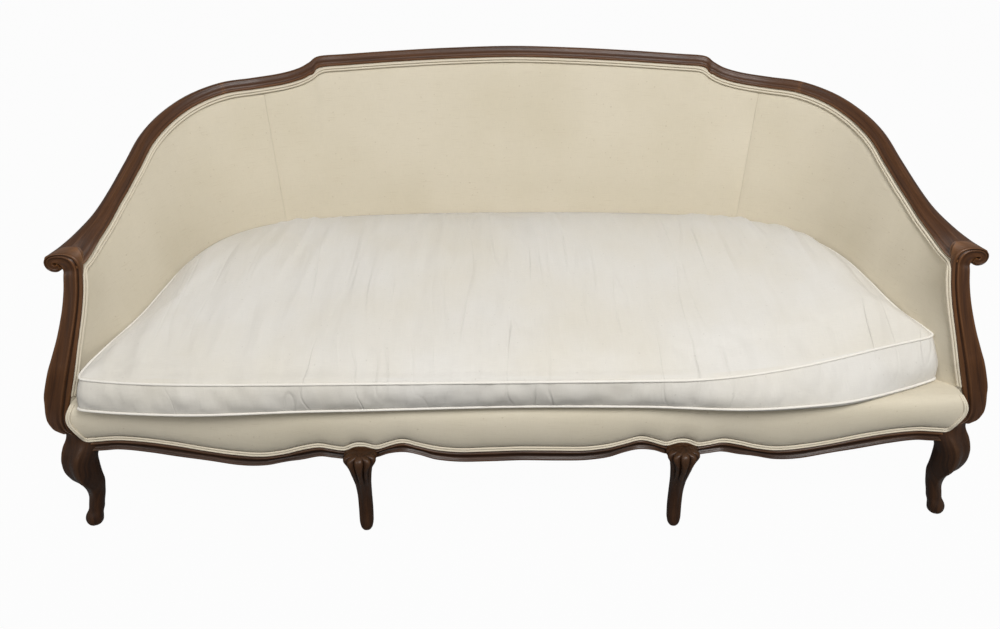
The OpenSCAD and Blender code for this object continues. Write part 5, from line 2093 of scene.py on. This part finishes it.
@dataclass
class BenchCushion:
    """Loose bench cushion: cover, welts and zip.

    Attributes:
        shop: shared workshop.
        base: height of its underside.
        front_h: height of its front edge.
        rear_h: height of its rear edge.
        crown: extra height in the middle.
        skew: how far the right front corner sits back.
        inset: distance of the cover from the outline, for the welt.
        spacing: distance between columns of the mesh.
        corner: place along the wall where the outline leaves it.
        welt_r: radius of a cord.
        middle_share: half length of the crown's middle line, as a share of the half width.
        middle_y_share: place of that line, as a share of the depth.
        boxing_rows: rows of the mesh up the boxing.
        crown_rows: rows of the mesh from the top welt to the middle line.
        wall_gap: distance of the outline from the inside panels.
        front_gap: distance of the front edge behind the foremost place.
        front_share: end of the front edge, as a share of the half width.
        fullness: extra height of the edge at a side.
        full_right: how much of it the right side has.
        full_left: how much of it the left side has.
        belly: how far the boxing swells.
        pucker: height of the puckers across the boxing.
        fade: share of the crown over which the folds set in.
        cap: how far the simulation may move a point.
    """

    shop: Workshop
    base: float = 0.3266
    front_h: float = 0.074
    rear_h: float = 0.150
    crown: float = 0.034
    skew: float = 0.100
    inset: float = 0.0056
    spacing: float = 0.009
    corner: float = 16.3
    welt_r: float = 0.0027
    middle_share: float = 0.5
    middle_y_share: float = 0.45
    boxing_rows: int = 9
    crown_rows: int = 34
    wall_gap: float = 0.002
    front_gap: float = 0.018
    front_share: float = 0.905
    fullness: float = 0.017
    full_right: float = 1.25
    full_left: float = 0.45
    belly: float = 0.009
    pucker: float = 0.0044
    fade: float = 0.11
    cap: float = 0.012

    def edge_z(self, p: Vector) -> float:
        """Height of the top welt over a point in plan, fuller at the sides.

        Args:
            p: the point.

        Returns:
            The height.
        """
        wall = self.shop.wall
        u = (p.y - wall.front - self.front_gap) / (0.72 * wall.depth)
        full = self.fullness * smooth((abs(p.x) - 0.52) / 0.3) * smooth(3 * u) * smooth(2.2 - 2.2 * u)
        side = self.full_right if p.x > 0 else self.full_left
        return self.base + lerp(self.front_h, self.rear_h, smooth(u)) + full * side

    def front_edge(self, u: float, level: float) -> Vector:
        """Front outline at a share of the half width; the boxing leans out at the right.

        Args:
            u: share of the half width, less than 0 on the left.
            level: 0 at the underside, 1 at the top welt.

        Returns:
            The point in plan.
        """
        wall = self.shop.wall
        low = 0.083 * smooth((u - 0.64) / 0.36) + 0.010 * bump(u, 0.0, 0.45)
        low -= 0.014 * smooth((-u - 0.4) / 0.3) + 0.014 * bump(u, 0.48, 0.24)
        skew = lerp(low, self.skew * smooth((u - 0.3) / 0.6), level)
        end = (abs(u) / self.front_share) ** 8
        slip = 0.010 * smooth((u - 0.3) / 0.6)
        return Vector((u * wall.half_width - slip, wall.front + self.front_gap + 0.034 * end + skew, 0))

    def wall_point(self, t: float, level: float) -> Vector:
        """Outline along the wall at place t, at a share of the edge's height."""
        edge = self.edge_z(self.shop.wall.edge(t, self.base, self.wall_gap))
        return self.shop.wall.edge(t, lerp(self.base, edge, level), self.wall_gap)

    def outline(self, level: float) -> list[Vector]:
        """Outline at a share of the edge's height, with as many points at each level.

        Args:
            level: 0 at the underside, 1 at the top welt.

        Returns:
            Points round the cushion, seen from above against the clock.
        """
        places = self.shop.wall.places(-self.corner, self.corner, 0.010)
        row = [self.wall_point(t, level) for t in places]
        for u in spaced(self.front_share, -self.front_share, 180):
            p = self.front_edge(u, level)
            spread = 1 + lerp(0.030, 0.012, level) * smooth((abs(u) - 0.72) / 0.18)
            row.append(Vector((p.x * spread, p.y, lerp(self.base, self.edge_z(p), level))))
        n = len(row)
        for _ in range(3):
            row = [(row[i - 1] + 2 * row[i] + row[(i + 1) % n]) / 4 for i in range(n)]
        return row

    def shrunk(self, row: Sequence[Vector], d: float) -> list[Vector]:
        """Closed outline drawn in by a distance in plan.

        Args:
            row: the outline.
            d: the distance, less than 0 to grow.

        Returns:
            The new outline.
        """
        n = len(row)
        out = []
        for i, p in enumerate(row):
            run = row[(i + 1) % n] - row[i - 1]
            side = Vector((run.y, -run.x, 0)).normalized()
            out.append(p + side * d)
        return out

    def rings(self) -> tuple[list[Ring], int, int]:
        """Rings of the cover and the indices of its two seams.

        Returns:
            The rings, the lower seam's index and the upper one's.
        """
        wall = self.shop.wall
        top = self.outline(1.0)
        n = round(distances([*top, top[0]])[-1] / self.spacing)
        base_row = self.even(self.shrunk(self.outline(0.0), self.inset + 0.006), n)
        top_row = self.even(self.shrunk(top, self.inset), n)
        low_row = self.even(self.shrunk(self.outline(0.1), self.inset), n)
        middle_y = wall.front + self.middle_y_share * wall.depth
        reach = self.middle_share * wall.half_width

        def inward(row: Sequence[Vector], c: float) -> list[Vector]:
            """Row drawn in towards the crown's middle line.

            Args:
                row: the row.
                c: share of the distance from that line that is left.

            Returns:
                The drawn-in row.
            """
            out = []
            for p in row:
                cx = max(-reach, min(reach, p.x))
                out.append(Vector((lerp(cx, p.x, c), lerp(middle_y, p.y, c), p.z)))
            return out

        rings = []
        for c in (0.05, 0.35, 0.62, 0.82, 0.93, 0.98):
            rings.append([Vector((p.x, p.y, self.base)) for p in inward(base_row, c)])
        rings.append([Vector((p.x, p.y, self.base)) for p in base_row])
        rings.append([a.lerp(b, 0.5) - Vector((0, 0, 0.0015)) for a, b in zip(base_row, low_row)])
        low_seam = len(rings)
        rings.append(low_row)
        for k in range(1, self.boxing_rows):
            u = k / self.boxing_rows
            row = [a.lerp(b, u) for a, b in zip(low_row, top_row)]
            row = self.shrunk(row, -self.belly * math.sin(math.pi * u))
            rings.append([p + self.ripple(p, u) for p in row])
        top_seam = len(rings)
        rings.append(top_row)
        for k in range(1, self.crown_rows + 1):
            c = 1 - (k / self.crown_rows) ** 1.06 * 0.975
            rise = 1 - c**5
            row = []
            for p in inward(top_row, c):
                row.append(Vector((p.x, p.y, self.edge_z(p) + self.crown * rise)))
            rings.append(row)
        return rings, low_seam, top_seam

    def even(self, row: Sequence[Vector], n: int) -> list[Vector]:
        """Closed row resampled to n points, starting at the middle of the back.

        Args:
            row: the row.
            n: how many points are wanted.

        Returns:
            The new row.
        """
        start = min(range(len(row)), key=lambda i: abs(row[i].x) + (0 if row[i].y > 0 else 9))
        loop = [*row[start:], *row[: start + 1]]
        return [loop[k].lerp(loop[k + 1], u) for k, u in even_places(distances(loop), n, n)]

    def ripple(self, p: Vector, u: float) -> Vector:
        """Puckers across the boxing at p, a share u of the way up.

        Args:
            p: the point.
            u: share of the way up.

        Returns:
            How far the point moves.
        """
        wave = drift(p.x * 40, p.y * 40, u * 1.6) * self.pucker
        wave += drift(p.x * 11, p.y * 11, u * 1.5 + 4) * self.pucker
        return Vector((0.3 * wave, -wave, 0)) * math.sin(math.pi * u)

    def wrinkle(self, obj: Object) -> None:
        """Presses the folds into the top of the cover, less so near its seam.

        Args:
            obj: the cover.
        """
        share = obj.data.attributes["crown"].data
        for v in obj.data.vertices:
            if share[v.index].value > 0:
                v.co.z += self.fold(v.co) * smooth(share[v.index].value / self.fade)
        obj.data.update()

    def fold(self, p: Vector) -> float:
        """Height of the soft folds that run from front to back across the top.

        Args:
            p: point in plan.

        Returns:
            The height.
        """
        bend = 0.10 * drift(p.x * 1.2, p.y * 2.0, 0.7) + 0.10 * p.x * p.y
        a = drift((p.x + bend) * 8.0, p.y * 1.3, 2.0)
        b = drift((p.x + bend) * 17.0, p.y * 2.1, 6.0)
        d = drift((p.x + bend) * 36.0, p.y * 4.0, 9.0)
        where = smooth(0.5 + 1.1 * drift(p.x * 2.3, p.y * 2.2, 11.0))
        crease = (0.5 - abs(b)) ** 2 * 0.026 * where
        return 0.0060 * a + crease + 0.0026 * d

    def cover(self) -> tuple[Object, list[Vector], list[Vector]]:
        """Cover of the cushion, with its two seam lines.

        Returns:
            The cover, its lower seam line and its upper one.
        """
        rings, low, top = self.rings()
        n, last = len(rings[0]), len(rings) - 1
        bm = bmesh.new()
        seam = bm.verts.layers.float.new("seam")
        crown = bm.verts.layers.float.new("crown")
        uv = bm.loops.layers.uv.new("UVMap")
        made = bmesh.ops.create_grid(bm, x_segments=n, y_segments=last, size=1)
        spots = {v: (round((v.co.x + 1) / 2 * n), round((v.co.y + 1) / 2 * last)) for v in made["verts"]}
        for v, (i, j) in spots.items():
            v.co = rings[j][i % n]
            v[seam] = 1.0 if j in (low, top) else 0.0
            v[crown] = max(0.0, (j - top) / (last - top))
        for face in bm.faces:
            boxing = all(low <= spots[c.vert][1] <= top for c in face.loops)
            for corner in face.loops:
                i, j = spots[corner.vert]
                p = corner.vert.co
                corner[uv].uv = (i * self.spacing, p.z) if boxing else (p.y, p.x)
        bmesh.ops.remove_doubles(bm, verts=bm.verts, dist=WELD)
        caps = bmesh.ops.holes_fill(bm, edges=[e for e in bm.edges if e.is_boundary], sides=0)["faces"]
        bmesh.ops.triangulate(bm, faces=caps)
        bmesh.ops.recalc_face_normals(bm, faces=bm.faces)
        obj = into_object("bench_cushion", bm, 180.0)
        return obj, rings[low], rings[top]

    def build(self) -> None:
        """Makes the cushion with its welts and zip."""
        shop = self.shop
        cover, low_line, top_line = self.cover()
        self.simulate(cover)
        self.wrinkle(cover)
        shop.add(cover, "white_linen", Body.CUSHION,
                 replaces=["cushion_cover", "cushion_base_panel", "cushion_filling"])
        for word, line in (("top", top_line), ("bottom", low_line)):
            path = resampled(self.shrunk(line, -0.0012), 0.006, True)
            cord = tube(f"cushion_{word}_cord", path, self.welt_r, closed=True)
            shop.add(cord, "white_welt", Body.CUSHION, replaces=[f"cushion_welt_{word}"])
        shop.add(self.zip(), "zip_tape", Body.CUSHION, replaces=["cushion_zip"])

    def simulate(self, obj: Object) -> None:
        """Inflates the cover as cloth held at its seams, with a cap on how far it moves.

        Args:
            obj: the cover.
        """
        log.info("cloth: start, %d points", len(obj.data.vertices))
        group = obj.vertex_groups.new(name="held")
        seam = obj.data.attributes["seam"]
        low = min(v.co.z for v in obj.data.vertices) + 0.0022
        for v in obj.data.vertices:
            if seam.data[v.index].value > 0.5 or v.co.z < low:
                group.add([v.index], 1.0, "REPLACE")
        rest = [v.co.copy() for v in obj.data.vertices]
        mod = obj.modifiers.new("Cloth", "CLOTH")
        cloth = mod.settings
        cloth.quality = 5
        cloth.mass = 0.25
        cloth.tension_stiffness = 14
        cloth.compression_stiffness = 14
        cloth.shear_stiffness = 4
        cloth.bending_stiffness = 0.35
        cloth.shrink_min = -0.004
        cloth.use_pressure = True
        cloth.uniform_pressure_force = 2.2
        cloth.vertex_group_mass = "held"
        cloth.effector_weights.gravity = 0
        scene = bpy.context.scene
        scene.frame_start, scene.frame_end = 1, 20
        mod.point_cache.frame_start, mod.point_cache.frame_end = 1, 20
        for frame in range(1, 19):
            scene.frame_set(frame)
        dg = bpy.context.evaluated_depsgraph_get()
        posed = obj.evaluated_get(dg).to_mesh()
        moved = [v.co.copy() for v in posed.vertices]
        obj.evaluated_get(dg).to_mesh_clear()
        obj.modifiers.remove(mod)
        scene.frame_set(1)
        out = [v.normal.copy() for v in obj.data.vertices]
        for v, a, b, normal in zip(obj.data.vertices, rest, moved, out):
            step = b - a
            step -= normal * min(0.0, step.dot(normal))
            if step.length > self.cap:
                step *= self.cap / step.length
            v.co = a + step
        obj.vertex_groups.clear()
        obj.data.update()
        log.info("cloth: done")

    def zip(self) -> Object:
        """Zip along the waist of the rear boxing, with its coil.

        Returns:
            The zip.
        """
        wall = self.shop.wall
        end, half, face = 4, 0.011, 0.0042
        profile = ((-half, 0.0), (-half * 0.3, 0.0003), (half * 0.3, 0.0003), (half, 0.0), (half, 0.001),
                   (-half, 0.001))
        tape, coil = [], []
        for t in wall.places(-end, end, 0.008):
            z = self.wall_point(t, 0.5).z
            tape.append([wall.edge(t, z + dz, face + dn) for dz, dn in profile])
        for k, t in enumerate(wall.places(-end, end, 0.0028)):
            z = self.wall_point(t, 0.5).z
            coil.append(wall.edge(t, z, face - 0.0006) + Vector((0, 0, 0.0008 * (-1) ** k)))
        return joined("boxing_zip", [loft("zip_band", tape), tube("zip_coil", coil, 0.0011, 6)])


# Room, lamps and camera


@dataclass(frozen=True)
class Studio:
    """Plain pale floor and world, soft lamps and the photograph's camera.

    Attributes:
        place: camera's place.
        yaw: turn of the view to the right, in radians.
        pitch: tilt of the view downwards.
        roll: turn about the line of sight.
        focal: focal length in pixels of a picture 1000 pixels wide.
        centre: principal point in pixels.
        width: width of the photograph in pixels.
        height: height of the photograph in pixels.
        sensor: width of the camera's sensor in millimetres.
        lamps: name, place, aim, side length and power of each lamp.
    """

    place: Point = (-0.083246, -1.755091, 1.320686)
    yaw: float = 0.0253532
    pitch: float = 0.5132957
    roll: float = 0.0040454
    focal: float = 799.987
    centre: Point = (500.2, 314.488)
    width: int = 1000
    height: int = 629
    sensor: float = 36.0
    lamps: tuple[tuple[str, Point, Point, float, float], ...] = (
        ("key", (0.9, -2.3, 3.2), (0, 0, 0.4), 1.4, 104),
        ("fill", (-2.4, -2.8, 2.6), (0, 0, 0.5), 1.8, 34),
        ("back", (0.4, 2.8, 2.6), (0, 0, 0.6), 2.4, 34),
    )

    def camera(self) -> None:
        """Makes the camera at the photograph's place."""
        flat = math.cos(self.pitch)
        forward = Vector((math.sin(self.yaw) * flat, math.cos(self.yaw) * flat, -math.sin(self.pitch)))
        right = Vector((math.cos(self.yaw), -math.sin(self.yaw), 0))
        up = right.cross(forward)
        r2 = math.cos(self.roll) * right + math.sin(self.roll) * up
        u2 = -math.sin(self.roll) * right + math.cos(self.roll) * up
        data = bpy.data.cameras.new("view")
        data.sensor_width = self.sensor
        data.lens = self.focal * self.sensor / self.width
        data.shift_x = -(self.centre[0] - self.width / 2) / self.width
        data.shift_y = (self.centre[1] - self.height / 2) / self.width
        cam = bpy.data.objects.new("view", data)
        turn = Matrix((r2, u2, -forward)).transposed()
        cam.matrix_world = Matrix.Translation(Vector(self.place)) @ turn.to_4x4()
        bpy.context.scene.collection.objects.link(cam)
        bpy.context.scene.camera = cam

    def lamp(self, name: str, place: Point, aim: Point, size: float, watts: float) -> None:
        """Square area lamp that faces a point.

        Args:
            name: the lamp's name.
            place: where it hangs.
            aim: point that it faces.
            size: length of its side.
            watts: its power.
        """
        data = bpy.data.lights.new(name, "AREA")
        data.size = size
        data.energy = watts
        lamp = bpy.data.objects.new(name, data)
        lamp.location = place
        lamp.rotation_mode = "QUATERNION"
        lamp.rotation_quaternion = (Vector(aim) - Vector(place)).to_track_quat("-Z", "Y")
        bpy.context.scene.collection.objects.link(lamp)

    def floor(self) -> None:
        """Flat floor, nearly white to the camera and grey to the lamps."""
        bm = bmesh.new()
        bmesh.ops.create_grid(bm, x_segments=8, y_segments=8, size=14)
        floor = linked("studio_floor", bm)
        floor.location.z = -0.0005
        mat, build, shader = blank_material("studio_white")
        build.fill(shader, {"Base Color": (0.20, 0.20, 0.20, 1), "Roughness": 0.9, "Specular IOR Level": 0.0})
        light = build.add("Emission", inputs={"Color": (1, 1, 1, 1), "Strength": 1.0})
        path = build.add("LightPath")
        seen = build.times(path.outputs["Is Camera Ray"], 0.97)
        mixed = build.add("MixShader", inputs={0: seen, 1: shader.outputs[0], 2: light.outputs[0]})
        out = next(n for n in mat.node_tree.nodes if n.type == "OUTPUT_MATERIAL")
        build.feed(out.inputs["Surface"], mixed.outputs[0])
        floor.data.materials.append(mat)

    def world(self) -> None:
        """Pale world: white where the camera or a transmission ray looks, softer as a lamp."""
        world = bpy.data.worlds.new("studio_world")
        world.use_nodes = True
        world.node_tree.nodes.clear()
        build = NodeBuilder(world.node_tree)
        path = build.add("LightPath")
        seen = build.math("MAXIMUM", path.outputs["Is Camera Ray"], path.outputs["Is Transmission Ray"])
        soft = build.add("Background", inputs={"Color": (1.0, 0.985, 0.955, 1), "Strength": 0.33})
        plain = build.add("Background", inputs={"Color": (1, 1, 1, 1), "Strength": 1.0})
        mixed = build.add("MixShader", inputs={0: seen, 1: soft.outputs[0], 2: plain.outputs[0]})
        out = build.add("OutputWorld")
        build.feed(out.inputs["Surface"], mixed.outputs[0])
        bpy.context.scene.world = world

    def build(self) -> None:
        """Makes the whole studio."""
        self.camera()
        self.floor()
        self.world()
        for lamp in self.lamps:
            self.lamp(*lamp)
        scene = bpy.context.scene
        scene.view_settings.view_transform = "Standard"


def dress_hidden_frame(shop: Workshop) -> None:
    """Gives the solids that stay the finish of their slot.

    Args:
        shop: shared workshop.
    """
    slots = {row["node"]: row["material_slot"] for row in shop.frame["record"]["subparts"]}
    for name, obj in shop.frame["nodes"].items():
        shop.palette.dress(obj, slots[name])
        if slots[name] == "beech":
            log.info("%s stays as its solid, in beech", name)


def main() -> None:
    """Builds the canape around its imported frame, then the studio."""
    logging.basicConfig(level=logging.INFO, format="%(name)s %(message)s")
    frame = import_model()
    shop = Workshop(wall=Wall(), palette=Palette(), frame=frame)
    dress_hidden_frame(shop)
    rail = FrontRail(shop)
    for assembly in (ShowRails(shop), ArmPosts(shop), rail, Legs(shop), WallPads(shop), SeatFront(shop, rail),
                     SeatInside(shop), BenchCushion(shop)):
        assembly.build()
    Studio().build()
    log.info("%d pieces made", len(shop.pieces))


if __name__ == "__main__":
    main()
